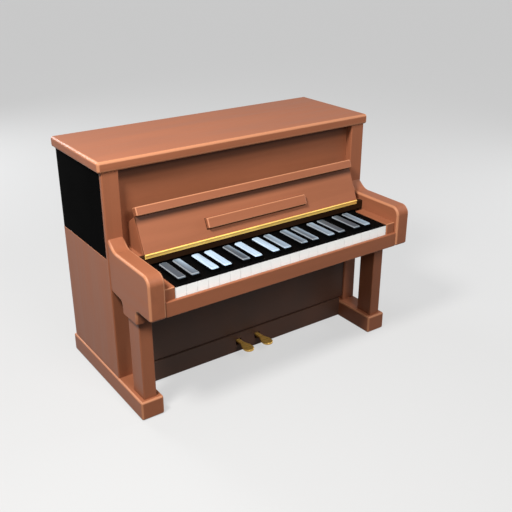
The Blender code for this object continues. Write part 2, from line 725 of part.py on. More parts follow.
def build_hinge():
    """The brass continuous hinge: its knuckle and the leaf on the nameboard."""
    shape = bmesh.new()
    lean = math.degrees(FALLBOARD_LEAN)
    outline = arc((HINGE_DEPTH, HINGE_HEIGHT), HINGE_RADIUS, 0 - lean, 232, 9)
    outline.append((HINGE_DEPTH - HINGE_LEAF_THICKNESS, HINGE_HEIGHT - HINGE_RADIUS))
    outline.append((HINGE_DEPTH - HINGE_LEAF_THICKNESS, HINGE_HEIGHT - HINGE_RADIUS - HINGE_LEAF))
    outline.append((HINGE_DEPTH, HINGE_HEIGHT - HINGE_RADIUS - HINGE_LEAF))
    outline.append((HINGE_DEPTH, HINGE_HEIGHT - HINGE_RADIUS))
    add_prism(shape, outline, -FALLBOARD_HALF_WIDTH, FALLBOARD_HALF_WIDTH, "X")
    place("fallboard_hinge", shape, brass(), smooth_angle=math.radians(40))


def build_fallboard():
    """The folding key cover with the thick lip along its free edge."""
    shape = bmesh.new()
    foot = HINGE_RADIUS + SEAT_GAP
    lip_start = FALLBOARD_LENGTH - FALLBOARD_LIP_WIDTH
    rim = FALLBOARD_ROUNDING
    section = [
        (foot, -FALLBOARD_THICKNESS),
        (foot, -0.0005),
        (lip_start, -0.0005),
        (lip_start, FALLBOARD_LIP_PROUD - rim),
        (lip_start + rim, FALLBOARD_LIP_PROUD),
        (FALLBOARD_LENGTH - rim, FALLBOARD_LIP_PROUD),
        (FALLBOARD_LENGTH, FALLBOARD_LIP_PROUD - rim),
        (FALLBOARD_LENGTH, rim - FALLBOARD_THICKNESS),
        (FALLBOARD_LENGTH - rim, -FALLBOARD_THICKNESS),
    ]
    outline = [fallboard_point(along, proud) for along, proud in section]
    add_prism(shape, outline, -FALLBOARD_HALF_WIDTH, FALLBOARD_HALF_WIDTH, "X")
    pivot = (0.0, y_at(HINGE_DEPTH), HINGE_HEIGHT)
    place("fallboard", shape, case_wood(), pivot)


def build_music_ledge():
    """The short strip on the fallboard that folds out to hold sheet music."""
    shape = bmesh.new()
    rim = 0.003
    low, high = LEDGE_FOOT, LEDGE_FOOT + LEDGE_HEIGHT
    near, far = SEAT_GAP - 0.0005, LEDGE_THICKNESS
    section = [(low, near), (low, far - rim), (low + rim, far)]
    section += [(high - rim, far), (high, far - rim), (high, near)]
    outline = [fallboard_point(along, proud) for along, proud in section]
    add_prism(shape, outline, -LEDGE_HALF_WIDTH, LEDGE_HALF_WIDTH, "X")
    depth, height = fallboard_point(LEDGE_FOOT, 0.0)
    place("music_ledge", shape, case_wood(), (0.0, y_at(depth), height))


# Back, plate and strings


def bay_edges():
    """X of the plate's bars, which divide the strings into bays."""
    half = SIDE_INNER_X - 0.030
    return [-half + 2.0 * half * bar / PLATE_BAYS for bar in range(PLATE_BAYS + 1)]


def string_places():
    """X of every string, clear of the bars."""
    edges = bay_edges()
    places = []
    for bay in range(PLATE_BAYS):
        low = edges[bay] + PLATE_BAR_WIDTH
        high = edges[bay + 1] - PLATE_BAR_WIDTH
        for number in range(STRINGS_PER_BAY):
            places.append(low + (high - low) * number / (STRINGS_PER_BAY - 1))
    return places


def bridge_outline(left, right, start, end):
    """Front view of a bridge that rises from left to right in a long curve."""
    lower = []
    steps = 8
    for step in range(steps + 1):
        share = step / steps
        lower.append((left + (right - left) * share, start + (end - start) * share ** 1.6))
    upper = [(x, height + BRIDGE_WIDTH) for x, height in reversed(lower)]
    return lower + upper


def build_soundboard():
    """The spruce board, the ribs glued behind it and both bridges in front."""
    half = SIDE_INNER_X - PANEL_FIT
    back = SOUNDBOARD_FRONT_DEPTH - SOUNDBOARD_THICKNESS
    low = BOTTOM_BEAM_TOP + SEAT_GAP
    high = TOP_BEAM_BOTTOM - SEAT_GAP
    shape = bmesh.new()
    add_box(shape, (-half, half), (back, SOUNDBOARD_FRONT_DEPTH), (low, high))
    board = place("soundboard", shape, spruce())
    ribs = bmesh.new()
    for rib in range(RIB_COUNT):
        middle = low + (high - low) * (rib + 0.5) / RIB_COUNT
        heights = (middle - RIB_WIDTH / 2.0, middle + RIB_WIDTH / 2.0)
        depths = (POST_DEPTH + SEAT_GAP, back + GLUE_OVERLAP)
        add_box(ribs, (RIB_INSET - half, half - RIB_INSET), depths, heights)
    bridges = bmesh.new()
    places = string_places()
    depths = (SOUNDBOARD_FRONT_DEPTH - GLUE_OVERLAP, STRING_DEPTH - SEAT_GAP)
    bass = bridge_outline(places[0] - 0.015, places[STRINGS_PER_BAY - 1] + 0.012, 0.300, 0.330)
    treble = bridge_outline(places[STRINGS_PER_BAY] - 0.012, places[-1] + 0.015, 0.360, 0.700)
    add_prism(bridges, bass, *depths, "Y")
    add_prism(bridges, treble, *depths, "Y")
    guides = [place("rib_guide", ribs, spruce()), place("bridge_guide", bridges, beech())]
    combine(board, "UNION", guides)


def add_lattice(shape, columns, rows, depths):
    """A flat frame: every bay between an odd and the next even column is left open."""
    verts = {}
    for column, x in enumerate(columns):
        for row, height in enumerate(rows):
            verts[column, row] = shape.verts.new((x, y_at(depths[0]), height))
    faces = []
    for column in range(len(columns) - 1):
        for row in range(len(rows) - 1):
            if row == 1 and column % 2 == 1:
                continue
            left = [verts[column, row], verts[column, row + 1]]
            right = [verts[column + 1, row + 1], verts[column + 1, row]]
            corners = left + right
            faces.append(shape.faces.new(corners))
    grown = bmesh.ops.extrude_face_region(shape, geom=faces, use_keep_orig=True)
    front = [item for item in grown["geom"] if isinstance(item, bmesh.types.BMVert)]
    bmesh.ops.translate(shape, verts=front, vec=(0.0, depths[0] - depths[1], 0.0))
    bmesh.ops.dissolve_limit(shape, angle_limit=0.01, verts=shape.verts, edges=shape.edges)


def build_back_frame():
    """The wooden back: two beams and the posts between them."""
    half = SIDE_INNER_X - PANEL_FIT
    columns = []
    for post in range(POST_COUNT):
        left = -half + (2 * half - POST_WIDTH) * post / (POST_COUNT - 1)
        columns += [left, left + POST_WIDTH]
    bottom = FOOT_HEIGHT + 0.003
    top = CASE_TOP - 2 * SEAT_GAP
    shape = bmesh.new()
    add_lattice(shape, columns, [bottom, BOTTOM_BEAM_TOP, TOP_BEAM_BOTTOM, top], (0.0, POST_DEPTH))
    frame = place("back_frame", shape, beech())
    beams = bmesh.new()
    depths = (POST_DEPTH - GLUE_OVERLAP, BEAM_DEPTH)
    add_box(beams, (-half, half), depths, (bottom, BOTTOM_BEAM_TOP))
    add_box(beams, (-half, half), depths, (TOP_BEAM_BOTTOM, top))
    combine(frame, "UNION", [place("beam_guide", beams, beech())])


def build_plate():
    """The cast iron plate: two flanges and the bars between them."""
    edges = bay_edges()
    low, high = FOOT_HEIGHT + 0.006, CASE_TOP - 0.006
    hitch_top, pin_bottom = BOTTOM_BEAM_TOP - 0.004, TOP_BEAM_BOTTOM + 0.004
    bar_front = PLATE_FRONT_DEPTH + PLATE_BAR_HEIGHT
    arch = STRING_DEPTH + PLATE_BAR_ARCH
    outline = [
        (PLATE_BACK_DEPTH, low),
        (bar_front, low),
        (bar_front, high),
        (PLATE_BACK_DEPTH, high),
        (PLATE_BACK_DEPTH, pin_bottom),
        (arch, pin_bottom),
        (arch, hitch_top),
        (PLATE_BACK_DEPTH, hitch_top),
    ]
    half = PLATE_BAR_WIDTH / 2.0
    bars = bmesh.new()
    for edge in edges:
        add_prism(bars, outline, edge - half, edge + half, "X")
    plate = place("iron_plate", bars, cast_iron())
    flanges = bmesh.new()
    depths = (PLATE_BACK_DEPTH, PLATE_FRONT_DEPTH)
    add_box(flanges, (edges[0] - half, edges[-1] + half), depths, (low, hitch_top))
    add_box(flanges, (edges[0] - half, edges[-1] + half), depths, (pin_bottom, high))
    combine(plate, "UNION", [place("flange_guide", flanges, cast_iron())])


def add_rod(shape, start, end, radius, sides):
    """A straight round rod between two points."""
    start, end = Vector(start), Vector(end)
    run = end - start
    turn = Vector((0.0, 0.0, 1.0)).rotation_difference(run.normalized()).to_matrix().to_4x4()
    spot = Matrix.Translation((start + end) / 2.0) @ turn
    bmesh.ops.create_cone(shape, cap_ends=True, segments=sides, radius1=radius, radius2=radius,
                          depth=run.length, matrix=spot)


def string_outline(top):
    """Side view of one course of wire between its tuning pin and hitch pin."""
    low = BOTTOM_BEAM_TOP - HITCH_DROP
    wire_back, wire_front = STRING_DEPTH, STRING_DEPTH + STRING_SIDE
    seat = PLATE_FRONT_DEPTH + SEAT_GAP
    pin_tip = PLATE_FRONT_DEPTH + TUNING_PIN_LENGTH
    hitch_tip = wire_front + 0.003
    pin = TUNING_PIN_RADIUS
    return [
        (seat, top + pin), (seat, top - pin), (wire_back, top - pin), (wire_back, low + pin),
        (seat, low + pin), (seat, low - pin), (hitch_tip, low - pin), (hitch_tip, low + pin),
        (wire_front, low + pin), (wire_front, top - pin), (pin_tip, top - pin), (pin_tip, top + pin),
    ]


def build_strings():
    """One course of wire with its two pins for each string place, held by a braid."""
    places = string_places()
    reach = STRING_SIDE / 2.0
    shape = bmesh.new()
    depths = (STRING_DEPTH - BRAID_THICKNESS, STRING_DEPTH + reach)
    heights = (BRAID_BOTTOM, BRAID_BOTTOM + BRAID_HEIGHT)
    add_box(shape, (places[0] - 2.0 * reach, places[-1] + 2.0 * reach), depths, heights)
    braid = place("strings", shape, string_steel())
    wires = bmesh.new()
    for number, x in enumerate(places):
        top = CASE_TOP - PIN_DROP - PIN_ROW_STEP * (number % 3)
        add_prism(wires, string_outline(top), x - reach, x + reach, "X")
    combine(braid, "UNION", [place("wire_guide", wires, string_steel())])


# Action


def action_rail(depth, height):
    """A square rail between the two side boards, centred on its turning axis."""
    shape = bmesh.new()
    reach = ACTION_RAIL / 2.0
    half = SIDE_INNER_X - PANEL_FIT
    add_box(shape, (-half, half), (depth - reach, depth + reach), (height - reach, height + reach))
    return shape


def comb_guide(name, outline, width, material):
    """One flat piece with this side view in line with every string."""
    shape = bmesh.new()
    for x in string_places():
        add_prism(shape, outline, x - width / 2.0, x + width / 2.0, "X")
    return place(name, shape, material)


def build_hammers():
    """Every hammer on its rail: shank and felt head."""
    nose = STRING_DEPTH + STRING_SIDE + HAMMER_REST_GAP
    tail = nose + HAMMER_LENGTH
    head = [
        (nose, HAMMER_HEIGHT),
        (nose + 0.010, HAMMER_HEIGHT + 0.011),
        (tail, HAMMER_HEIGHT + 0.007),
        (tail, HAMMER_HEIGHT - 0.007),
        (nose + 0.010, HAMMER_HEIGHT - 0.011),
    ]
    shank_depth = tail - 0.012
    reach = SHANK_SIZE / 2.0
    low = BUTT_HEIGHT + ACTION_RAIL / 2.0 - GLUE_OVERLAP
    high = HAMMER_HEIGHT - 0.005
    shank = [
        (BUTT_DEPTH - reach, low),
        (BUTT_DEPTH + reach, low),
        (shank_depth + reach, high),
        (shank_depth - reach, high),
    ]
    pivot = (0.0, y_at(BUTT_DEPTH), BUTT_HEIGHT)
    rail = place("hammers", action_rail(BUTT_DEPTH, BUTT_HEIGHT), hammer_felt(), pivot)
    shanks = comb_guide("hammer_shank_guide", shank, SHANK_SIZE, beech())
    heads = comb_guide("hammer_head_guide", head, HAMMER_WIDTH, hammer_felt())
    combine(rail, "UNION", [shanks, heads])


def build_dampers():
    """Every damper on its rail: lever and felt block against the string."""
    face = STRING_DEPTH + STRING_SIDE + SEAT_GAP
    back = face + DAMPER_THICKNESS
    low = DAMPER_HEIGHT
    block = [(face, low), (back, low), (back, low + DAMPER_LENGTH), (face, low + DAMPER_LENGTH)]
    reach = SHANK_SIZE / 2.0
    foot = DAMPER_PIVOT_HEIGHT + ACTION_RAIL / 2.0 - GLUE_OVERLAP
    top = low + DAMPER_LENGTH / 3.0
    lever = [
        (DAMPER_PIVOT_DEPTH - reach, foot),
        (DAMPER_PIVOT_DEPTH + reach, foot),
        (back + reach, top),
        (back - reach, top),
    ]
    pivot = (0.0, y_at(DAMPER_PIVOT_DEPTH), DAMPER_PIVOT_HEIGHT)
    rail = place("dampers", action_rail(DAMPER_PIVOT_DEPTH, DAMPER_PIVOT_HEIGHT), damper_felt(), pivot)
    levers = comb_guide("damper_lever_guide", lever, SHANK_SIZE, beech())
    felts = comb_guide("damper_felt_guide", block, DAMPER_WIDTH, damper_felt())
    combine(rail, "UNION", [levers, felts])


# Pedals


def build_pedal(name, centre):
    """A brass pedal with a round pad, a straight shank and its pivot pin."""
    shape = bmesh.new()
    half = PEDAL_SHANK_WIDTH / 2.0
    pad = PEDAL_PAD_WIDTH / 2.0
    shoulder = PEDAL_FRONT_DEPTH - PEDAL_PAD_LENGTH
    round_start = PEDAL_FRONT_DEPTH - pad
    plan = [(centre - half, PEDAL_PIVOT_DEPTH), (centre - half, shoulder)]
    plan += [(centre - pad, shoulder + 0.030)]
    plan += [(x, depth) for x, depth in arc((centre, round_start), pad, 180, 0, 8)]
    plan += [(centre + pad, shoulder + 0.030)]
    plan += [(centre + half, shoulder), (centre + half, PEDAL_PIVOT_DEPTH)]
    low = PEDAL_PIVOT_HEIGHT - PEDAL_THICKNESS / 2.0
    high = PEDAL_PIVOT_HEIGHT + PEDAL_THICKNESS / 2.0
    add_prism(shape, plan, low, high, "Z")
    pedal_top = high - 0.0001
    round_edges(shape, 0.003, 1, lambda middle, along: middle.z > pedal_top)
    pivot = (centre, y_at(PEDAL_PIVOT_DEPTH), PEDAL_PIVOT_HEIGHT)
    pedal = place(name, shape, brass(), pivot, math.radians(40))
    pin = bmesh.new()
    reach = half + BEARING_PLAY + BEARING_WIDTH
    start = (centre - reach, y_at(PEDAL_PIVOT_DEPTH), PEDAL_PIVOT_HEIGHT)
    end = (centre + reach, y_at(PEDAL_PIVOT_DEPTH), PEDAL_PIVOT_HEIGHT)
    add_rod(pin, start, end, PEDAL_PIN_RADIUS, 12)
    combine(pedal, "UNION", [place(name + "_pin_guide", pin, brass())])


def main():
    clear_scene()
    for side, sign in (("left", -1), ("right", 1)):
        build_side("side_" + side, sign)
        build_arm("arm_" + side, sign)
        build_leg_and_foot("leg_and_foot_" + side, sign)
    build_lid()
    build_upper_panel()
    build_lower_panel()
    build_toe_rail()
    build_keybed()
    build_key_slip()
    build_keys()
    build_nameboard()
    build_hinge()
    build_fallboard()
    build_music_ledge()
    build_back_frame()
    build_soundboard()
    build_plate()
    build_strings()
    build_hammers()
    build_dampers()
    build_pedal("pedal_soft", -PEDAL_X)
    build_pedal("pedal_sustain", PEDAL_X)


main()
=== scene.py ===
"""The looks of an upright piano: woodwork, keyboard, action, pedals and back.

Metres, +Z up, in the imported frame. Depths are measured forward from the back of
the case and heights from the floor, as on a maker's drawing.
"""

import functools
import json
import math

import bmesh
import bpy
from bpy.props import FloatProperty, FloatVectorProperty, PointerProperty
from mathutils import Matrix, Vector


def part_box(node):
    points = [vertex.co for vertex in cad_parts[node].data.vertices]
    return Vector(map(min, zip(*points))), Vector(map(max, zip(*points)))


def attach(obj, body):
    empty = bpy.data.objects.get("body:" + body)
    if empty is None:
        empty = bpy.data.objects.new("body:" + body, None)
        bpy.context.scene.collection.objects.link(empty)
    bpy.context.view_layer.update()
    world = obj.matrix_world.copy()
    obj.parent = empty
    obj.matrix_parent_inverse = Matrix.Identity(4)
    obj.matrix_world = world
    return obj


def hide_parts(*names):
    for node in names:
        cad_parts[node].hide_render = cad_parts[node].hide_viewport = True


bl_info = {
    "name": "Upright Piano Looks",
    "version": (1, 0, 0),
    "blender": (4, 5, 0),
    "location": "3D View > Sidebar > Piano",
    "description": "Models the woodwork, keyboard, action and back of an upright piano",
    "category": "Object",
}

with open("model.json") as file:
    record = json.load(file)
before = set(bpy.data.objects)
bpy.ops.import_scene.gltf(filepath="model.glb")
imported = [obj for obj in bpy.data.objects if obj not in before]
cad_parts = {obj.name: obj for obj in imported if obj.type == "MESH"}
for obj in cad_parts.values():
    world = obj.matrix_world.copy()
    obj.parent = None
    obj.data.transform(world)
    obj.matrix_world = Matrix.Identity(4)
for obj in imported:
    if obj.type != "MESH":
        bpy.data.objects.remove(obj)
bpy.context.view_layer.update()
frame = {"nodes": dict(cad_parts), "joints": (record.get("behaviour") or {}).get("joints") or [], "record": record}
BACK_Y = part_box("lid")[1].y


def y_at(depth):
    """The Y of a point that lies this far forward of the case's back."""
    return BACK_Y - depth


def span(node):
    """A node's reach at rest along X, in depth and in height."""
    low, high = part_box(node)
    return (low.x, high.x), (BACK_Y - high.y, BACK_Y - low.y), (low.z, high.z)


def joint_point(name):
    """Where a joint turns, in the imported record."""
    for joint in frame["joints"]:
        if joint["name"] == name:
            return Vector(joint["pos_m"])
    raise RuntimeError(f"the frame has no joint {name}")


# Sizes shared by several pieces
(STILE_INNER, HALF_CASE), (_, CASE_DEPTH), _ = span("side_right")
SIDE_THICKNESS = 0.030
STILE_THICKNESS = 0.041
KEY_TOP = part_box("natural_01")[1].z
KEY_BODY_BOTTOM = KEY_TOP - 0.025
NATURALS = sum(1 for node in frame["nodes"] if node.startswith("natural_"))
SHARPS = sum(1 for node in frame["nodes"] if node.startswith("sharp_"))
FALLBOARD_LEAN = math.radians(24.0)
FALLBOARD_LENGTH = 0.218
LIP_WIDTH = 0.041
PLATE_FRONT = 0.1298
STRING_DEPTH = 0.1363

# Each side of the case, and whether it is mirrored from the right one
SIDES = (("left", True), ("right", False))

# The least angle of an edge that is softened, and of one that stays sharp to the eye
SHARP_TURN = math.radians(25.0)
SMOOTH_TURN = math.radians(38.0)


# Shapes


def new_part():
    """An empty shape whose points carry how much painted edge highlight and wear they get."""
    part = bmesh.new()
    part.verts.layers.float.new("wear_and_highlight")
    return part


def block(low, high):
    """A box between two corners."""
    part = new_part()
    low, high = Vector(low), Vector(high)
    spot = Matrix.Translation((low + high) / 2.0) @ Matrix.Diagonal(high - low).to_4x4()
    bmesh.ops.create_cube(part, size=1.0, matrix=spot)
    return part


def case_block(xs, depths, heights):
    """A box given by its reach along X, in depth and in height."""
    return block((xs[0], y_at(depths[1]), heights[0]), (xs[1], y_at(depths[0]), heights[1]))


def rod(start, end, radius, sides):
    """A round rod between two points."""
    part = new_part()
    start, end = Vector(start), Vector(end)
    run = end - start
    turn = Vector((0.0, 0.0, 1.0)).rotation_difference(run.normalized()).to_matrix().to_4x4()
    spot = Matrix.Translation((start + end) / 2.0) @ turn
    bmesh.ops.create_cone(part, cap_ends=True, segments=sides, radius1=radius, radius2=radius,
                          depth=run.length, matrix=spot)
    return part


def soften(part, radius, segments, wanted=None):
    """Round the sharp edges that pass the test, and mark the rounded rows for the painted edge highlight and wear.
    """
    picked = []
    for edge in part.edges:
        if len(edge.link_faces) != 2 or edge.calc_face_angle(0.0) < SHARP_TURN:
            continue
        middle = (edge.verts[0].co + edge.verts[1].co) / 2.0
        along = (edge.verts[1].co - edge.verts[0].co).normalized()
        if wanted is None or wanted(middle, along):
            picked.append(edge)
    bevel_edges(part, picked, radius, segments, True)
    return part


def bevel_edges(part, edges, offset, segments, mark):
    """Bevel some edges round; marking them flags the new inner rows for the painted edge highlight and wear."""
    made = bmesh.ops.bevel(part, geom=edges, offset=offset, offset_type="OFFSET", segments=segments,
                           profile=0.5, affect="EDGES", clamp_overlap=True, material=-1)
    if not mark:
        return
    wear_and_highlight = part.verts.layers.float["wear_and_highlight"]
    rounded = set(made["faces"])
    for vert in made["verts"]:
        if all(face in rounded for face in vert.link_faces):
            vert[wear_and_highlight] = 1.0


def profile(corners, low, high, axis="X"):
    """A closed outline, drawn out along one axis.

    Each corner is a pair, or a pair and the radius that rounds it. The pairs are
    (depth, height) for axis X, (x, depth) for axis Z and (x, height) for axis Y,
    whose low and high are depths.
    """
    def point(first, second, along):
        if axis == "X":
            return Vector((along, y_at(first), second))
        if axis == "Z":
            return Vector((first, y_at(second), along))
        return Vector((first, y_at(along), second))

    part = new_part()
    face = part.faces.new([part.verts.new(point(*corner[:2], low)) for corner in corners])
    grown = bmesh.ops.extrude_face_region(part, geom=[face])
    moved = [item for item in grown["geom"] if isinstance(item, bmesh.types.BMVert)]
    bmesh.ops.translate(part, verts=moved, vec=point(0.0, 0.0, high) - point(0.0, 0.0, low))
    bmesh.ops.recalc_face_normals(part, faces=part.faces)
    for first, second, *radius in corners:
        if any(radius):
            round_corner(part, (point(first, second, low), point(first, second, high)), radius[0])
    return part


def round_corner(part, ends, radius):
    """Round the one long edge of a profile that runs between two points."""
    for edge in part.edges:
        places = [vert.co for vert in edge.verts]
        if all(min((place - end).length for place in places) < 1e-5 for end in ends):
            turn = edge.calc_face_angle(0.0)
            bevel_edges(part, [edge], radius * math.tan(turn / 2.0), 4 + int(radius * 160), False)
            return


def turned(part, matrix):
    """The shape moved by a matrix."""
    bmesh.ops.transform(part, matrix=matrix, verts=part.verts)
    return part


def repeated(part, places):
    """The same shape, drawn at x = 0, at every place along X."""
    mesh = bpy.data.meshes.new("repeat")
    part.to_mesh(mesh)
    part.free()
    made = new_part()
    at = 0.0
    for x in places:
        mesh.transform(Matrix.Translation((x - at, 0.0, 0.0)))
        at = x
        made.from_mesh(mesh)
    bpy.data.meshes.remove(mesh)
    return made


def traced(node):
    """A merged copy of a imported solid, with flat faces made whole again."""
    part = new_part()
    part.from_mesh(frame["nodes"][node].data)
    bmesh.ops.remove_doubles(part, verts=part.verts, dist=0.00001)
    bmesh.ops.dissolve_limit(part, angle_limit=0.002, verts=part.verts, edges=part.edges)
    return part


def assemble(name, parts, body, nodes, mirror=False):
    """Join parts, each with its finish, into one piece that rides on a body."""
    whole = new_part()
    finishes = []
    for part, finish in parts:
        if finish not in finishes:
            finishes.append(finish)
        bmesh.ops.recalc_face_normals(part, faces=part.faces)
        if mirror:
            bmesh.ops.scale(part, verts=part.verts, vec=(-1.0, 1.0, 1.0))
            bmesh.ops.reverse_faces(part, faces=part.faces)
        for face in part.faces:
            face.material_index = finishes.index(finish)
        mesh = bpy.data.meshes.new("joining")
        part.to_mesh(mesh)
        part.free()
        whole.from_mesh(mesh)
        bpy.data.meshes.remove(mesh)
    mesh = bpy.data.meshes.new(name)
    whole.to_mesh(mesh)
    whole.free()
    for finish in finishes:
        mesh.materials.append(finish)
    mesh.shade_smooth()
    mesh.set_sharp_from_angle(angle=SMOOTH_TURN)
    piece = bpy.data.objects.new(name, mesh)
    bpy.context.scene.collection.objects.link(piece)
    even = piece.modifiers.new("even_shading", "WEIGHTED_NORMAL")
    even.keep_sharp = True
    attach(piece, body)
    if nodes:
        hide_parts(*nodes)
    return piece


# Finishes


def colours():
    """The colours set in the panel."""
    return bpy.context.scene.piano_colours


def made_once(finish):
    """Make a finish only where no material has its name yet."""
    @functools.wraps(finish)
    def found_or_made(name, *values):
        return bpy.data.materials.get(name) or finish(name, *values)

    return found_or_made


def start_finish(name):
    """A new material with its node tree and its shader."""
    made = bpy.data.materials.new(name)
    made.use_nodes = True
    tree = made.node_tree
    return made, tree, tree.nodes["Principled BSDF"]


def set_inputs(tree, node, inputs):
    """Set a node's inputs by name or number; one whose value is a socket is linked."""
    for key, value in inputs.items():
        if isinstance(value, bpy.types.NodeSocket):
            tree.links.new(value, node.inputs[key])
        else:
            node.inputs[key].default_value = value


def add_node(tree, kind, inputs=None, **settings):
    """A new node with its inputs and its settings."""
    node = tree.nodes.new(kind)
    for key, value in settings.items():
        setattr(node, key, value)
    set_inputs(tree, node, inputs or {})
    return node


def rgba(colour, strength=1.0):
    """A colour with full alpha, made lighter or darker by a factor."""
    return tuple(channel * strength for channel in colour) + (1.0,)


def stretched_noise(tree, stretch, detail, distortion=0.0, shift=(0.0, 0.0, 0.0)):
    """Noise on Object coordinates, drawn out along the axis with the small number."""
    place = add_node(tree, "ShaderNodeTexCoord").outputs["Object"]
    mapping = add_node(tree, "ShaderNodeMapping", {"Vector": place, "Scale": stretch, "Location": shift})
    noise = add_node(tree, "ShaderNodeTexNoise", {
        "Vector": mapping.outputs["Vector"], "Scale": 1.0, "Detail": detail,
        "Roughness": 0.6, "Distortion": distortion,
    })
    return noise.outputs["Fac"]


def spread(tree, value, low, high, to_low=0.0, to_high=1.0):
    """Map the part of a value between low and high to another range."""
    node = add_node(tree, "ShaderNodeMapRange", {
        "Value": value, "From Min": low, "From Max": high, "To Min": to_low, "To Max": to_high,
    }, interpolation_type="SMOOTHSTEP")
    return node.outputs["Result"]


def blended(tree, factor, first, second):
    """A colour between two others, each a colour or a socket."""
    node = add_node(tree, "ShaderNodeMix", {0: factor, 6: first, 7: second}, data_type="RGBA")
    return node.outputs[2]


def bumped(tree, height, strength, distance):
    """A normal tilted by a height pattern."""
    node = add_node(tree, "ShaderNodeBump", {"Height": height, "Strength": strength, "Distance": distance})
    return node.outputs["Normal"]


def edge_wear_and_highlight(tree, strength):
    """How much painted highlight and wear a surface gets: the strength along the rounded edges, none on the flats.
    """
    wear_and_highlight = add_node(tree, "ShaderNodeAttribute", attribute_name="wear_and_highlight").outputs["Fac"]
    return add_node(tree, "ShaderNodeMath", {0: wear_and_highlight, 1: strength}, operation="MULTIPLY").outputs[0]


# How much noise is packed along each axis: wood grain by its direction, and brushed metal
GRAIN = {"X": (1.1, 13.0, 13.0), "Y": (13.0, 1.1, 13.0), "Z": (13.0, 13.0, 1.1)}
BRUSHED_X = (6.0, 300.0, 300.0)


@made_once
def stained_wood(name, colour, grain, rubbed_and_highlit):
    """Smooth stained wood under satin lacquer, with its rounded edges painted lighter or not: a painted highlight
    that also stands for wear.
    """
    made, tree, shader = start_finish(name)
    flow = stretched_noise(tree, GRAIN[grain], 4.0, 0.5)
    fine = tuple(8.0 * value for value in GRAIN[grain])
    pores = stretched_noise(tree, fine, 3.0, 0.2, (3.0, 1.0, 2.0))
    cloud = stretched_noise(tree, (1.7, 1.7, 1.7), 2.0)
    base = blended(tree, spread(tree, flow, 0.35, 0.65), rgba(colour, 0.95), rgba(colour, 1.05))
    base = blended(tree, spread(tree, pores, 0.56, 0.72, 0.0, 0.08), base, rgba(colour, 0.62))
    base = blended(tree, spread(tree, cloud, 0.3, 0.7, 0.0, 0.20), base, rgba(colours().wood_deep))
    if rubbed_and_highlit:
        # Painted edge highlight, partly wear: the rounded edges lighten to the edge colour.
        base = blended(tree, edge_wear_and_highlight(tree, 0.75), base, rgba(colours().wood_edge))
    set_inputs(tree, shader, {
        "Base Color": base,
        "Roughness": spread(tree, flow, 0.3, 0.7, 0.40, 0.50),
        "Specular IOR Level": 0.17,
        "Normal": bumped(tree, pores, 0.06, 0.0003),
    })
    return made


def case_wood(grain):
    """Wood of the case, its grain along one axis."""
    return stained_wood("case_wood_" + grain.lower(), colours().case_wood, grain, True)


def shaded_wood():
    """Case wood darkened for the lower panel and the toe rail: painted shade under the keybed."""
    return stained_wood("shaded_wood_x", colours().shaded_wood, "X", False)


@made_once
def corner_painted_shadow_wood(name, corner, direction):
    """Case wood with a painted shadow: dark in a corner, fading along a direction from it."""
    reach, depth = 0.032, 0.72
    made = case_wood("X").copy()
    made.name = name
    tree = made.node_tree
    base_socket = tree.nodes["Principled BSDF"].inputs["Base Color"]
    base = base_socket.links[0].from_socket
    place = add_node(tree, "ShaderNodeTexCoord").outputs["Object"]
    run = add_node(tree, "ShaderNodeVectorMath", {0: place, 1: direction}, operation="DOT_PRODUCT")
    start = corner.dot(direction)
    # Painted shadow: the wood darkens towards the corner, to a few percent of its colour.
    painted_shadow_amount = spread(tree, run.outputs["Value"], start, start + reach, depth, 0.0)
    shadowed_base = blended(tree, painted_shadow_amount, base, rgba(colours().case_wood, 0.06))
    tree.links.new(shadowed_base, base_socket)
    return made


@made_once
def plain_wood(name, colour, grain, contrast):
    """Planed wood with open grain, as on the frame, the ribs and the action."""
    made, tree, shader = start_finish(name)
    stretch = tuple(3.0 * value for value in GRAIN[grain])
    rings = stretched_noise(tree, stretch, 5.0, 0.8)
    fibres = stretched_noise(tree, tuple(9.0 * value for value in stretch), 3.0)
    darker, lighter = rgba(colour, 1.0 - contrast), rgba(colour, 1.0 + contrast)
    base = blended(tree, spread(tree, rings, 0.38, 0.62), darker, lighter)
    base = blended(tree, spread(tree, fibres, 0.5, 0.75, 0.0, 0.3), base, rgba(colour, 0.6))
    set_inputs(tree, shader, {
        "Base Color": base,
        "Roughness": spread(tree, fibres, 0.3, 0.7, 0.50, 0.68),
        "Normal": bumped(tree, fibres, 0.25, 0.0005),
    })
    return made


@made_once
def lacquer(name, colour, roughness, edge, specular, cloud=0.15):
    """A dark or coloured lacquer with faint ripple, and its rounded edges painted lighter: a painted highlight
    that also stands for finger wear.
    """
    made, tree, shader = start_finish(name)
    ripple = stretched_noise(tree, (9.0, 9.0, 9.0), 3.0)
    dust = stretched_noise(tree, (160.0, 60.0, 160.0), 2.0)
    darker, lighter = rgba(colour, 1.0 - cloud), rgba(colour, 1.0 + cloud)
    base = blended(tree, spread(tree, ripple, 0.3, 0.7), darker, lighter)
    # Painted edge highlight, partly finger wear: a lighter copy of the colour on the rounded edges.
    rubbed_and_highlit = tuple(min(1.0, channel * 1.6 + 0.01) for channel in colour)
    base = blended(tree, edge_wear_and_highlight(tree, edge), base, rgba(rubbed_and_highlit))
    set_inputs(tree, shader, {
        "Base Color": base,
        "Roughness": spread(tree, dust, 0.3, 0.7, roughness * 0.85, roughness * 1.2),
        "Specular IOR Level": specular,
        "Normal": bumped(tree, ripple, 0.03, 0.001),
    })
    return made


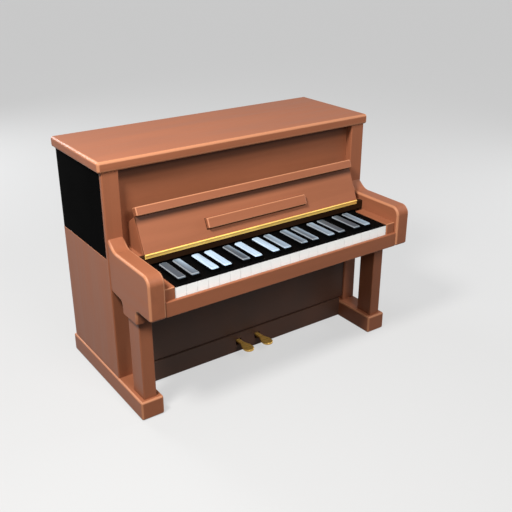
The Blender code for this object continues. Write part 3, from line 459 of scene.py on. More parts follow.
@made_once
def metal(name, colour, roughness, stretch, metallic=1.0, bump=0.05):
    """Brushed or cast metal; the stretch draws the brushing out along one axis."""
    made, tree, shader = start_finish(name)
    brushing = stretched_noise(tree, stretch, 4.0)
    stain = stretched_noise(tree, (7.0, 7.0, 7.0), 3.0, 0.3)
    base = blended(tree, spread(tree, stain, 0.35, 0.7), rgba(colour), rgba(colour, 0.82))
    set_inputs(tree, shader, {
        "Base Color": base,
        "Metallic": metallic,
        "Roughness": spread(tree, brushing, 0.3, 0.7, roughness * 0.8, roughness * 1.25),
        "Normal": bumped(tree, brushing, bump, 0.0004),
    })
    return made


@made_once
def felt(name, colour):
    """Pressed wool felt with a soft nap."""
    made, tree, shader = start_finish(name)
    nap = stretched_noise(tree, (900.0, 900.0, 900.0), 3.0)
    patches = stretched_noise(tree, (60.0, 60.0, 60.0), 2.0)
    base = blended(tree, spread(tree, nap, 0.3, 0.7), rgba(colour, 0.8), rgba(colour, 1.1))
    base = blended(tree, spread(tree, patches, 0.4, 0.7, 0.0, 0.3), base, rgba(colour, 0.7))
    set_inputs(tree, shader, {
        "Base Color": base,
        "Roughness": 0.95,
        "Sheen Weight": 0.25,
        "Sheen Roughness": 0.5,
        "Normal": bumped(tree, nap, 0.4, 0.0004),
    })
    return made


@made_once
def silver_with_painted_reflection(name, colour):
    """Brushed silver grey with a painted reflection that lightens and darkens it along the keyboard, and painted
    highlights on its rims.
    """
    made, tree, shader = start_finish(name)
    brushing = stretched_noise(tree, (260.0, 9.0, 260.0), 4.0)
    # Painted reflection: a slow noise along the keyboard lightens and darkens the caps.
    painted_reflection_tone = stretched_noise(tree, (8.0, 0.8, 8.0), 1.0, 0.0, (10.9, 0.0, 0.0))
    base = blended(tree, spread(tree, painted_reflection_tone, 0.40, 0.66), rgba(colour, 0.26), rgba(colour, 2.4))
    base = blended(tree, spread(tree, brushing, 0.35, 0.75, 0.0, 0.45), base, rgba(colour, 0.45))
    # Painted highlight: the rounded rims lighten to a pale grey.
    base = blended(tree, edge_wear_and_highlight(tree, 0.22), base, (0.80, 0.85, 0.88, 1.0))
    set_inputs(tree, shader, {
        "Base Color": base,
        "Metallic": 0.1,
        "Roughness": spread(tree, brushing, 0.3, 0.7, 0.28, 0.42),
        "Specular IOR Level": 0.22,
        "Normal": bumped(tree, brushing, 0.08, 0.0004),
    })
    return made


def black_panel():
    """Black lacquer of the inset side panels, nearly without a sheen."""
    return lacquer("black_lacquer", colours().black, 0.18, 0.0, 0.001)


def key_black():
    """Black covers of the keys."""
    return lacquer("key_cover_black", colours().key_black, 0.25, 0.05, 0.003)


def key_white():
    """White plates on the fronts of the naturals."""
    return lacquer("key_white", colours().key_white, 0.22, 0.0, 0.5, 0.02)


def nameboard_painted_shade():
    """Nearly black finish of the nameboard behind the keys: painted shade under the fallboard's hinge."""
    return lacquer("nameboard_dark", (0.020, 0.009, 0.004), 0.45, 0.2, 0.06)


def rebate_stain():
    """Dark finish of the plate around the music ledge: a painted shadow under and beside the ledge."""
    return lacquer("rebate_stain", (0.045, 0.018, 0.009), 0.6, 0.0, 0.1)


def silver_cap():
    """Caps of the sharps."""
    return silver_with_painted_reflection("sharp_silver", colours().sharp)


def hinge_brass():
    """Satin brass of the long hinge along the keyboard."""
    return metal("hinge_brass", colours().hinge, 0.42, BRUSHED_X, 0.2)


def case_brass():
    """Polished brass of the lid's hinges and of the pedals."""
    return metal("polished_brass", colours().brass, 0.30, BRUSHED_X, 0.55)


def gilt_iron():
    """Gilt paint on rough cast iron."""
    return metal("gilt_iron", colours().iron, 0.42, (260.0, 260.0, 260.0), 0.6, 0.3)


def steel():
    """Bright steel of strings, pins and bolts."""
    return metal("polished_steel", (0.58, 0.57, 0.55), 0.24, (40.0, 40.0, 40.0))


def copper():
    """Copper wound round the bass strings."""
    return metal("copper_winding", (0.62, 0.25, 0.11), 0.35, (30.0, 30.0, 1500.0), 1.0, 0.5)


def beech(grain):
    """Planed beech, its grain along one axis."""
    return plain_wood("beech_" + grain.lower(), colours().beech, grain, 0.16)


def spruce(grain):
    """Planed spruce, its grain along one axis."""
    return plain_wood("spruce_" + grain.lower(), colours().spruce, grain, 0.12)


# Case


def build_sides(sizes):
    """Side boards with a shallow recess for the black panel, and the stiles in front of them."""
    bottom, top = span("side_right")[2]
    inner = HALF_CASE - SIDE_THICKNESS
    recess = HALF_CASE - sizes.inset_depth
    split = sizes.inset_bottom
    seam = CASE_DEPTH - sizes.stile_strip
    section = [
        (inner, bottom), (HALF_CASE, bottom), (HALF_CASE, split),
        (recess, split), (recess, top), (inner, top),
    ]
    stile_back = CASE_DEPTH - STILE_THICKNESS
    tongue = inner - 0.0003
    plan = [
        (STILE_INNER, stile_back), (STILE_INNER, CASE_DEPTH, sizes.stile_rounding),
        (HALF_CASE, CASE_DEPTH, sizes.stile_rounding), (HALF_CASE, seam),
        (tongue, seam), (tongue, stile_back),
    ]
    behind = y_at(CASE_DEPTH - 0.008)
    for side, mirror in SIDES:
        board = soften(profile(section, 0.0, seam - 0.0004, "Y"), 0.0012, 2)
        stile = profile(plan, bottom, top, "Z")
        soften(stile, 0.0014, 2, lambda middle, along: abs(along.z) > 0.9 and middle.y > behind)
        panel = case_block((recess + 0.0002, HALF_CASE - 0.0006), (0.0015, seam - 0.0020),
                           (split + 0.0010, top - 0.0010))
        soften(panel, 0.0009, 2)
        parts = [(board, case_wood("Z")), (stile, case_wood("Z")), (panel, black_panel())]
        assemble("side_" + side + "_board", parts, "case", ["side_" + side], mirror)


def build_arms(sizes):
    """Arms that round off in front, each on the block over its leg."""
    xs, (neck, front), (block_bottom, neck_top) = span("arm_right")
    top, bottom = 0.775, 0.567
    scroll_back = 0.569
    block_back, block_front = 0.618, 0.757
    corners = [
        (neck, neck_top), (scroll_back, top, 0.060), (front, top, sizes.arm_nose),
        (front, bottom, 0.012), (block_front, bottom, 0.026), (block_front, block_bottom),
        (block_back, block_bottom), (block_back, 0.554, 0.020), (neck, 0.562),
    ]
    seat = y_at(neck)

    def rim(middle, along):
        on_seat = abs(middle.y - seat) < 0.001
        return abs(along.x) < 0.5 and not on_seat and middle.z > block_bottom + 0.001

    for side, mirror in SIDES:
        arm = soften(profile(corners, *xs), sizes.arm_rounding, 5, rim)
        assemble("arm_" + side + "_wood", [(arm, case_wood("Y"))], "case", ["arm_" + side],
                 mirror)


def build_legs(sizes):
    xs, depths, (_, leg_top) = span("leg_and_foot_right")
    foot_top = 0.097
    leg_outer = HALF_CASE - 0.0175
    leg_inner = leg_outer - 0.065
    leg_depths = (0.640, 0.745)
    for side, mirror in SIDES:
        foot = soften(case_block(xs, depths, (0.0, foot_top)), sizes.foot_rounding, 5)
        leg = case_block((leg_inner, leg_outer), leg_depths, (foot_top - 0.001, leg_top))
        soften(leg, 0.005, 4, lambda middle, along: abs(along.z) > 0.9)
        parts = [(foot, case_wood("Y")), (leg, case_wood("Z"))]
        assemble("leg_and_foot_" + side + "_wood", parts, "case", ["leg_and_foot_" + side],
                 mirror)


def build_lid(sizes):
    back = BACK_Y - 0.001
    lid = soften(block(*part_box("lid")), sizes.lid_rounding, 6, lambda middle, along: middle.y < back)
    upper = [(lid, case_wood("X"))]
    lower = []
    axis = joint_point("lid_hinge")
    barrel, radius = 0.044, 0.0035
    for x in (-0.5, 0.0, 0.5):
        upper.append((hinge_leaf(x, 0.001, 0.028), case_brass()))
        upper.append((knuckle(x, x + barrel, axis, radius), case_brass()))
        lower.append((hinge_leaf(x, -0.028, -0.001), case_brass()))
        lower.append((knuckle(x - barrel, x, axis, radius), case_brass()))
    assemble("lid_board", upper, "lid", ["lid"])
    assemble("lid_hinge_lower", lower, "case", ())


def hinge_leaf(x, low, high):
    """A let-in leaf on the back of the lid or of the top beam, measured from the axis."""
    axis = joint_point("lid_hinge").z
    half = 0.045
    leaf = block((x - half, BACK_Y - 0.0006, axis + low), (x + half, BACK_Y + 0.0008, axis + high))
    return soften(leaf, 0.0004, 1)


def knuckle(low, high, centre, radius):
    """One barrel of a hinge, with its ends rounded."""
    gap = 0.0004
    barrel = rod((low + gap, centre.y, centre.z), (high - gap, centre.y, centre.z), radius, 16)
    return soften(barrel, radius * 0.15, 1, lambda middle, along: abs(along.x) < 0.5)


def fallboard_frame():
    """From the fallboard's own axes: x, along the board, and out of its face."""
    sine, cosine = math.sin(FALLBOARD_LEAN), math.cos(FALLBOARD_LEAN)
    turn = Matrix(((1.0, 0.0, 0.0), (0.0, sine, -cosine), (0.0, cosine, sine)))
    return Matrix.Translation(joint_point("fallboard_hinge")) @ turn.to_4x4()


def build_upper_panel():
    """The upper panel and the two cheeks that the open fallboard leans on."""
    xs, _, heights = span("upper_front_panel")
    panel_back, panel_front = 0.456, 0.478
    panel = soften(case_block(xs, (panel_back, panel_front), heights), 0.0012, 2)
    under_lid = Vector((0.0, 0.0, heights[1] - 0.037))
    # Painted shadow of the lid's overhang: the panel darkens towards the lid.
    parts = [(panel, corner_painted_shadow_wood("upper_panel_wood", under_lid, Vector((0.0, 0.0, -1.0))))]
    place = fallboard_frame()
    foot = place @ Vector((0.0, 0.010, -0.0175))
    rest = place @ Vector((0.0, FALLBOARD_LENGTH - LIP_WIDTH, -0.0163))
    base = span("nameboard")[2][1] + 0.0003
    seat = panel_front - 0.001
    cheek = [
        (seat, base), (BACK_Y - foot.y, base), (BACK_Y - foot.y, foot.z),
        (BACK_Y - rest.y, rest.z), (seat, rest.z - 0.046),
    ]
    outer = span("fallboard")[0][1]
    inner = outer - 0.024
    for low, high in ((inner, outer), (-outer, -inner)):
        parts.append((soften(profile(cheek, low, high), 0.0012, 2), case_wood("Z")))
    assemble("upper_panel_wood", parts, "case", ["upper_front_panel"])


def build_lower_panels():
    front = y_at(span("lower_front_panel")[1][1]) + 0.001
    panel = soften(block(*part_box("lower_front_panel")), 0.002, 3, lambda middle, along: middle.y < front)
    # Painted shade: the lower panel and toe rail take the darker copy of the case wood.
    assemble("lower_panel_wood", [(panel, shaded_wood())], "case", ["lower_front_panel"])
    rail = soften(traced("toe_rail"), 0.0012, 2)
    assemble("toe_rail_wood", [(rail, shaded_wood())], "case", ["toe_rail"])


def build_keybed():
    bed = soften(traced("keybed"), 0.0015, 2)
    assemble("keybed_wood", [(bed, beech("X"))], "case", ["keybed"])


def build_key_slip():
    """The rail in front of the keys and the block at each end of them."""
    xs, (block_back, front), (bottom, block_top) = span("key_slip")
    back = front - 0.014
    slip_top = bottom + 0.0725
    slip = case_block(xs, (back, front), (bottom, slip_top))
    face = y_at(front) + 0.001
    soften(slip, 0.004, 4, lambda middle, along: middle.y < face and abs(along.x) > 0.9)
    parts = [(slip, case_wood("X"))]
    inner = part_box(f"natural_{NATURALS:02d}")[1].x + 0.0015
    edge = y_at(back) + 0.001
    for low, high in ((inner, xs[1]), (xs[0], -inner)):
        end_block = case_block((low, high), (block_back, back), (0.6076, block_top))
        soften(end_block, 0.005, 4, lambda middle, along: middle.y < edge and middle.z > slip_top)
        soften(end_block, 0.0015, 2, lambda middle, along: abs(along.y) > 0.9 and middle.z > slip_top)
        parts.append((end_block, case_wood("Y")))
    assemble("key_slip_wood", parts, "case", ["key_slip"])


# Keyboard


def key_body(node):
    """The body that a key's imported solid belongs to."""
    for body, nodes in frame["record"]["behaviour"]["bodies"].items():
        if node in nodes:
            return body
    raise RuntimeError(f"no body holds {node}")


def natural_plan(number):
    """Plan of one natural: full width in front, narrowed beside the sharps."""
    (left, right), (back, front), _ = span(f"natural_{number:02d}")
    gap, notch_gap = 0.001, 0.0025
    tail_left, tail_right = left, right
    shoulder = front
    for sharp in range(1, SHARPS + 1):
        (low, high), depths, _ = span(f"sharp_{sharp:02d}")
        if low < left < high:
            tail_left = high + gap
            shoulder = depths[1] + notch_gap
        if low < right < high:
            tail_right = low - gap
            shoulder = depths[1] + notch_gap
    return left, right, tail_left, tail_right, back, shoulder, front


def natural_outline(number, back, front):
    """Corners of a natural's plan, cut short at the back or at the front."""
    left, right, tail_left, tail_right, _, shoulder, _ = natural_plan(number)
    plan = [(left, front), (right, front)]
    if tail_right < right:
        plan += [(right, shoulder), (tail_right, shoulder)]
    plan += [(tail_right, back), (tail_left, back)]
    if tail_left > left:
        plan += [(tail_left, shoulder), (left, shoulder)]
    return plan


def build_naturals(sizes):
    """Wooden levers under black covers, each with a white plate in front."""
    seam = KEY_TOP - sizes.key_cover
    cover_back = 0.600
    for number in range(1, NATURALS + 1):
        name = f"natural_{number:02d}"
        left, right, _, _, back, _, front = natural_plan(number)
        seat = front - 0.0045
        lever = profile(natural_outline(number, back, seat), KEY_BODY_BOTTOM, seam, "Z")
        cover = profile(natural_outline(number, cover_back, front), seam, KEY_TOP, "Z")
        soften(cover, sizes.key_rounding, 3, lambda middle, along: middle.z > KEY_TOP - 0.0001)
        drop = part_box(name)[0].z
        plate = case_block((left + 0.0001, right - 0.0001), (seat, front - 0.0004), (drop, seam))
        soften(plate, 0.0005, 2, lambda middle, along: middle.y < y_at(front) + 0.002)
        apron = case_block((left + 0.001, right - 0.001), (front - 0.012, seat), (drop + 0.001, seam))
        parts = [(lever, spruce("Y")), (cover, key_black()), (plate, key_white()), (apron, spruce("Y"))]
        assemble(name + "_key", parts, key_body(name), [name])


def sharp_slice(xs, depths, heights, draft):
    """A slice of a sharp's raised part, drawn in at its sides and more at its front."""
    (low, high), (start, front), (bottom, top) = xs, depths, heights
    front_radius, back_radius, side_draft = 0.0075, 0.0095, 0.0005
    plan = [(low, front, front_radius), (high, front, front_radius),
            (high, start, back_radius), (low, start, back_radius)]
    made = profile(plan, bottom, top, "Z")
    for vert in made.verts:
        if vert.co.z > top - 0.0001:
            along = (BACK_Y - vert.co.y - start) / (front - start)
            vert.co.x += side_draft if vert.co.x < (low + high) / 2.0 else -side_draft
            vert.co.y += draft * max(0.0, along * 4.0 - 3.0)
    return made


def build_sharps(sizes):
    """Black levers that rise behind the naturals' fronts, each with a silver-grey cap."""
    start = 0.656
    for number in range(1, SHARPS + 1):
        name = f"sharp_{number:02d}"
        (low, high), (back, front), (_, crown) = span(name)
        lever = case_block((low, high), (back, front), (KEY_BODY_BOTTOM, KEY_TOP - 0.0002))
        soften(lever, 0.001, 2, lambda middle, along: middle.z > KEY_TOP - 0.001)
        seam = crown - sizes.sharp_rounding - 0.0003
        rise = sharp_slice((low + 0.0005, high - 0.0005), (start, front - 0.0005),
                           (KEY_TOP - 0.0008, seam), 0.0022)
        cap = sharp_slice((low + 0.0028, high - 0.0028), (start + 0.003, front - 0.0045),
                          (seam, crown), 0.0040)
        soften(cap, sizes.sharp_rounding, 5, lambda middle, along: middle.z > crown - 0.0001)
        parts = [(lever, key_black()), (rise, key_black()), (cap, silver_cap())]
        assemble(name + "_key", parts, key_body(name), [name])


# Fallboard


def build_fallboard(sizes):
    """The open fallboard with its lip, and every other knuckle of its hinge."""
    half = span("fallboard")[0][1]
    lip_start = FALLBOARD_LENGTH - LIP_WIDTH
    thickness = 0.0160
    board = block((-half, 0.0043, -thickness), (half, lip_start + 0.001, -0.0005))
    soften(board, 0.0016, 2, lambda middle, along: middle.y < lip_start)
    lip = block((-half, lip_start, -thickness), (half, FALLBOARD_LENGTH, 0.0220))
    soften(lip, sizes.lip_rounding, 5)
    ledge_reach = span("music_ledge")[0][1] + 0.0035
    # Painted shadow: a dark plate under and beside the music ledge.
    ledge_shadow_plate = block((-ledge_reach, 0.0440, -0.0012), (ledge_reach, 0.0990, 0.0001))
    soften(ledge_shadow_plate, 0.0003, 1)
    place = fallboard_frame()
    # Painted shadow under the lip: the board darkens towards the lip.
    under_lip = place @ Vector((0.0, lip_start - 0.014, 0.0))
    down = place.to_3x3() @ Vector((0.0, -1.0, 0.0))
    moving = [
        (turned(board, place), corner_painted_shadow_wood("fallboard_wood", under_lip, down)),
        (turned(lip, place), case_wood("X")),
        (turned(ledge_shadow_plate, place), rebate_stain()),
    ]
    axis = joint_point("fallboard_hinge")
    leaf = case_block((-half, half), (0.6290, 0.6308), (axis.z - 0.0175, axis.z - 0.002))
    fixed = [(soften(leaf, 0.0003, 1), hinge_brass())]
    knuckles = 52
    step = 2.0 * half / knuckles
    for number in range(knuckles):
        low = -half + step * number
        side = fixed if number % 2 else moving
        side.append((knuckle(low, low + step, axis, 0.004), hinge_brass()))
    assemble("fallboard_wood", moving, "fallboard", ["fallboard"])
    assemble("fallboard_hinge_brass", fixed, "case", ["fallboard_hinge"])


def build_nameboard():
    xs, (shelf_back, front), heights = span("nameboard")
    back = front - 0.024
    board = soften(case_block(xs, (back, front), heights), 0.001, 2)
    shelf = case_block(xs, (shelf_back, back), (heights[1] - 0.012, heights[1]))
    # Painted shade: the nameboard's face is nearly black, as under the fallboard's hinge.
    parts = [(board, nameboard_painted_shade()), (shelf, case_wood("X"))]
    assemble("nameboard_wood", parts, "case", ["nameboard"])


def build_music_ledge(sizes):
    half = span("music_ledge")[0][1]
    ledge = block((-half, 0.048, -0.0002), (half, 0.098, 0.0200))
    soften(ledge, sizes.lip_rounding, 4, lambda middle, along: middle.z > 0.001)
    parts = [(turned(ledge, fallboard_frame()), case_wood("X"))]
    assemble("music_ledge_wood", parts, "music_ledge", ["music_ledge"])


# Back, plate and strings


def string_places():
    """X of every course of strings, in four bays between the plate's bars."""
    bays, courses, margin = 4, 9, 0.016
    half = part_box("iron_plate")[1].x - 0.008
    places = []
    for bay in range(bays):
        low = -half + 2.0 * half * bay / bays + margin
        high = -half + 2.0 * half * (bay + 1) / bays - margin
        for number in range(courses):
            places.append(low + (high - low) * number / (courses - 1))
    return places


def peg(x, start, end, height, radius, sides):
    """A round rod that runs in depth."""
    return rod((x, y_at(start), height), (x, y_at(end), height), radius, sides)


def wire(x, depth, low, high, radius, sides):
    """A round rod that runs upright."""
    return rod((x, y_at(depth), low), (x, y_at(depth), high), radius, sides)


def build_back():
    """The wooden back, whose beams have their grain across the posts', the soundboard and the plate."""
    posts = soften(traced("back_frame"), 0.003, 3)
    seams = (0.2015, 0.9835)
    for height in seams:
        whole = posts.verts[:] + posts.edges[:] + posts.faces[:]
        bmesh.ops.bisect_plane(posts, geom=whole, plane_co=(0.0, 0.0, height), plane_no=(0.0, 0.0, 1.0))
    back = assemble("back_frame_wood", [(posts, beech("Z"))], "case", ["back_frame"])
    back.data.materials.append(beech("X"))
    for face in back.data.polygons:
        if not seams[0] < face.center.z < seams[1]:
            face.material_index = 1
    board = soften(traced("soundboard"), 0.001, 2)
    assemble("soundboard_wood", [(board, spruce("X"))], "case", ["soundboard"])
    parts = [(soften(traced("iron_plate"), 0.002, 3), gilt_iron())]
    low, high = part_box("iron_plate")
    spots = (-0.62, -0.42, -0.26, -0.08, 0.08, 0.26, 0.42, 0.62)
    for height in (high.z - 0.012, low.z + 0.014):
        bolt = peg(0.0, PLATE_FRONT - 0.001, PLATE_FRONT + 0.005, height, 0.007, 16)
        soften(bolt, 0.002, 3, lambda middle, along: abs(along.y) < 0.5 and middle.y < y_at(PLATE_FRONT))
        parts.append((repeated(bolt, spots), steel()))
    assemble("iron_plate_gilt", parts, "case", ["iron_plate"])


def build_strings():
    """Single wound wires in the bass, then pairs, then threes, each wire with its tuning pin."""
    pin_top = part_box("lid")[0].z - 0.040
    pin_row, wire_pitch = 0.018, 0.0042
    hitch = 0.150
    depth = STRING_DEPTH + 0.0009
    places = string_places()
    bass, tenor = len(places) // 4, len(places) // 2
    parts = []
    for number, x in enumerate(places):
        wires = 1 + (number >= bass) + (number >= tenor)
        radius = 0.0007 if number < tenor else 0.0005
        for strand in range(wires):
            at = x + wire_pitch * (strand - (wires - 1) / 2.0)
            height = pin_top - pin_row * ((number + strand) % 3)
            if number < bass:
                parts.append((wire(at, depth, hitch + 0.030, height - 0.080, 0.0016, 8), copper()))
            parts.append((wire(at, depth, hitch, height, radius, 6), steel()))
            pin = peg(at, PLATE_FRONT - 0.002, PLATE_FRONT + 0.022, height, 0.0033, 10)
            soften(pin, 0.0006, 1, lambda middle, along: middle.y < y_at(PLATE_FRONT + 0.02))
            coil = peg(at, depth + 0.0030, depth - 0.0022, height, 0.0045, 10)
            parts += [(pin, steel()), (soften(coil, 0.0008, 1), steel())]
        parts.append((peg(x, PLATE_FRONT - 0.001, STRING_DEPTH + 0.005, hitch, 0.002, 8), steel()))
    braid = case_block((places[0] - 0.004, places[-1] + 0.004),
                       (STRING_DEPTH - 0.003, STRING_DEPTH + 0.0022), (0.215, 0.235))
    parts.append((soften(braid, 0.001, 2), felt("felt_braid", colours().felt_red)))
    assemble("strings_steel", parts, "case", ["strings"])


# Action


def action_rail(node, pivot):
    """The square rail that carries a set of hammers or dampers."""
    low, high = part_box(node)
    half = 0.011
    rail = block((low.x, pivot.y - half, pivot.z - half), (high.x, pivot.y + half, pivot.z + half))
    return soften(rail, 0.003, 3)


def build_hammers():
    pivot = joint_point("hammer_rail")
    travel = 0.044
    nose = STRING_DEPTH + 0.0018 + travel
    height = 0.960
    head = profile([
        (nose, height, 0.006), (nose + 0.014, height + 0.012, 0.010), (nose + 0.040, height + 0.0085),
        (nose + 0.040, height - 0.0085), (nose + 0.014, height - 0.012, 0.010),
    ], -0.0053, 0.0053)
    core = profile([
        (nose + 0.012, height + 0.001), (nose + 0.052, height + 0.0062),
        (nose + 0.052, height - 0.0062), (nose + 0.012, height - 0.001),
    ], -0.0055, 0.0055)
    soften(core, 0.0008, 1)
    butt = case_block((-0.0045, 0.0045), (0.236, 0.254), (pivot.z + 0.006, pivot.z + 0.040))
    soften(butt, 0.0015, 2)
    shank = rod((0.0, y_at(0.245), pivot.z + 0.030), (0.0, y_at(nose + 0.044), height - 0.004), 0.0028, 10)
    places = string_places()
    parts = [
        (action_rail("hammers", pivot), beech("X")),
        (repeated(head, places), felt("felt_white", colours().felt_white)),
        (repeated(core, places), beech("Y")),
        (repeated(butt, places), beech("Z")),
        (repeated(shank, places), beech("Z")),
    ]
    assemble("hammers_felt", parts, "hammers", ["hammers"])


def build_dampers():
    pivot = joint_point("damper_rail")
    face = STRING_DEPTH + 0.0021
    pad = soften(case_block((-0.005, 0.005), (face, face + 0.006), (0.845, 0.895)), 0.0012, 2)
    wood = soften(case_block((-0.0048, 0.0048), (face + 0.006, face + 0.012), (0.849, 0.891)), 0.0012, 2)
    stem = rod((0.0, y_at(face + 0.010), 0.870), (0.0, y_at(0.186), pivot.z + 0.035), 0.0013, 8)
    lever = case_block((-0.003, 0.003), (0.182, 0.190), (pivot.z + 0.006, pivot.z + 0.050))
    soften(lever, 0.001, 2)
    places = string_places()
    parts = [
        (action_rail("dampers", pivot), beech("X")),
        (repeated(pad, places), felt("felt_red", colours().felt_red)),
        (repeated(wood, places), key_black()),
        (repeated(stem, places), steel()),
        (repeated(lever, places), beech("Z")),
    ]
    assemble("dampers_felt", parts, "dampers", ["dampers"])


# Pedals


def build_pedals():
    half_thickness = 0.006
    shank, blade = 0.012, 0.028
    waist, shoulder = 0.553, 0.590
    for name in ("pedal_soft", "pedal_sustain"):
        pivot = joint_point(name + "_pivot")
        (left, right), (_, front), _ = span(name)
        start = BACK_Y - pivot.y - 0.006
        plan = [
            (-shank, start, 0.006), (-shank, waist, 0.030), (-blade, shoulder, 0.030),
            (-blade, front, 0.0278), (blade, front, 0.0278),
            (blade, shoulder, 0.030), (shank, waist, 0.030), (shank, start, 0.006),
        ]
        plan = [(pivot.x + x, depth, radius) for x, depth, radius in plan]
        top, bottom = pivot.z + half_thickness, pivot.z - half_thickness
        lever = profile(plan, bottom, top, "Z")
        soften(lever, 0.0038, 4, lambda middle, along: middle.z > top - 0.0001)
        soften(lever, 0.0015, 2, lambda middle, along: middle.z < bottom + 0.0001)
        pin = rod((left, pivot.y, pivot.z), (right, pivot.y, pivot.z), 0.004, 20)
        parts = [(lever, case_brass()), (soften(pin, 0.0006, 1), steel())]
        assemble(name + "_brass", parts, name, [name])


# Stage


def add_lamp(name, place, size, power, colour):
    """A round soft lamp that faces the middle of the piano."""
    data = bpy.data.lights.new(name, "AREA")
    data.shape = "DISK"
    data.size = size
    data.energy = power
    data.color = colour
    lamp = bpy.data.objects.new(name, data)
    lamp.location = place
    run = Vector((0.0, 0.0, 0.7)) - Vector(place)
    lamp.rotation_euler = run.to_track_quat("-Z", "Y").to_euler()
    bpy.context.scene.collection.objects.link(lamp)


def seen_or_lighting(tree, lighting, seen, output):
    """One shader for the light on the object, another for camera, glossy and transmission rays."""
    path = add_node(tree, "ShaderNodeLightPath").outputs
    ray = path["Is Camera Ray"]
    for kind in ("Is Glossy Ray", "Is Transmission Ray"):
        ray = add_node(tree, "ShaderNodeMath", {0: ray, 1: path[kind]}, operation="MAXIMUM").outputs[0]
    chosen = add_node(tree, "ShaderNodeMixShader", {0: ray, 1: lighting.outputs[0], 2: seen.outputs[0]})
    tree.links.new(chosen.outputs[0], tree.nodes[output].inputs["Surface"])


def build_floor(scene):
    """Pale paper that keeps the piano's shadow and throws little light back on it."""
    part = new_part()
    bmesh.ops.create_grid(part, x_segments=8, y_segments=8, size=120.0)
    bmesh.ops.translate(part, verts=part.verts, vec=(0.0, 0.0, -0.0005))
    mesh = bpy.data.meshes.new("studio_floor")
    part.to_mesh(mesh)
    part.free()
    floor = bpy.data.objects.new("studio_floor", mesh)
    scene.collection.objects.link(floor)
    paper, tree, shader = start_finish("studio_paper")
    set_inputs(tree, shader, {
        "Base Color": rgba(colours().floor, 0.21), "Roughness": 0.9, "Specular IOR Level": 0.1,
    })
    glow = add_node(tree, "ShaderNodeEmission", {"Color": rgba(colours().floor), "Strength": 0.74})
    lit = add_node(tree, "ShaderNodeAddShader", {0: shader.outputs[0], 1: glow.outputs[0]})
    dim = add_node(tree, "ShaderNodeBsdfDiffuse", {"Color": (0.04, 0.04, 0.04, 1.0)})
    seen_or_lighting(tree, dim, lit, "Material Output")
    mesh.materials.append(paper)


def build_world(scene):
    """Faint even light, and the paper's tone beyond the floor."""
    scene.world = bpy.data.worlds.new("studio_world")
    scene.world.use_nodes = True
    tree = scene.world.node_tree
    ambient = tree.nodes["Background"]
    set_inputs(tree, ambient, {"Color": (0.92, 0.96, 1.0, 1.0), "Strength": scene.piano_light.ambient})
    pale = add_node(tree, "ShaderNodeBackground", {"Color": rgba(colours().floor), "Strength": 0.76})
    seen_or_lighting(tree, ambient, pale, "World Output")


def build_camera(scene):
    """The photograph's point of view."""
    data = bpy.data.cameras.new("photo_camera")
    data.lens = scene.piano_light.lens
    data.sensor_width = 36.0
    data.sensor_fit = "HORIZONTAL"
    data.clip_end = 400.0
    camera = bpy.data.objects.new("photo_camera", data)
    camera.location = (-1.9185, -2.8857, 2.0753)
    camera.rotation_euler = (math.radians(65.78), 0.0, math.radians(-35.096))
    scene.collection.objects.link(camera)
    bpy.context.scene.camera = camera


def build_stage(scene):
    scene.view_settings.view_transform = "Standard"
    build_camera(scene)
    build_floor(scene)
    build_world(scene)
    lights = scene.piano_light
    add_lamp("key_lamp", (-2.3, -1.1, 3.7), 0.9, lights.key, (1.0, 0.98, 0.95))
    add_lamp("front_lamp", (-0.3, -3.6, 3.25), 1.6, lights.front, (1.0, 0.99, 0.97))
    add_lamp("right_lamp", (4.8, -0.6, 2.2), 2.4, lights.side, (0.96, 0.98, 1.0))
    add_lamp("back_lamp", (-1.4, 5.2, 2.5), 2.4, lights.back, (0.96, 0.98, 1.0))


# Settings, operators and panel


def colour_property(name, description, value):
    """A colour that the user can change."""
    return FloatVectorProperty(name=name, description=description, default=value, size=3,
                               min=0.0, max=1.0, subtype="COLOR")


def length_property(name, description, value):
    """A length in metres that the user can change."""
    return FloatProperty(name=name, description=description, default=value, min=0.0, max=2.0,
                         subtype="DISTANCE", unit="LENGTH", precision=4)


def power_property(name, description, value):
    """A lamp's power that the user can change."""
    return FloatProperty(name=name, description=description, default=value, min=0.0, unit="POWER")


class PianoColours(bpy.types.PropertyGroup):
    case_wood: colour_property("Case wood", "Stained wood of the case", (0.266, 0.093, 0.045))
    # Painted highlight, partly wear: the lighter wood along the rounded edges.
    wood_edge: colour_property("Edge highlight", "Lighter wood along the rounded edges", (0.47, 0.205, 0.108))
    wood_deep: colour_property("Deep wood", "Darker clouds in the stain", (0.232, 0.078, 0.037))
    # Painted shade: darker copy of the case wood for the lower panel and toe rail, under the keybed.
    shaded_wood: colour_property("Shaded wood", "Wood of the lower panel and toe rail", (0.047, 0.027, 0.020))
    black: colour_property("Black panel", "Lacquer of the inset side panels", (0.0015, 0.0015, 0.0015))
    key_black: colour_property("Key black", "Covers of the keys", (0.002, 0.002, 0.002))
    key_white: colour_property("Key white", "Front plates of the naturals", (0.955, 0.965, 0.955))
    sharp: colour_property("Sharp", "Caps of the sharps", (0.175, 0.235, 0.30))
    brass: colour_property("Brass", "Lid hinges and pedals", (0.83, 0.50, 0.12))
    hinge: colour_property("Long hinge", "Satin brass of the fallboard's hinge", (0.98, 0.64, 0.16))
    iron: colour_property("Plate", "Gilt paint on the iron plate", (0.52, 0.36, 0.12))
    beech: colour_property("Beech", "Frame, keybed and action wood", (0.46, 0.30, 0.17))
    spruce: colour_property("Spruce", "Soundboard and key levers", (0.62, 0.44, 0.24))
    felt_white: colour_property("Hammer felt", "Felt of the hammer heads", (0.75, 0.72, 0.64))
    felt_red: colour_property("Damper felt", "Felt of the dampers and the braid", (0.45, 0.06, 0.05))
    floor: colour_property("Floor", "Paper under and behind the piano", (0.75, 0.75, 0.75))


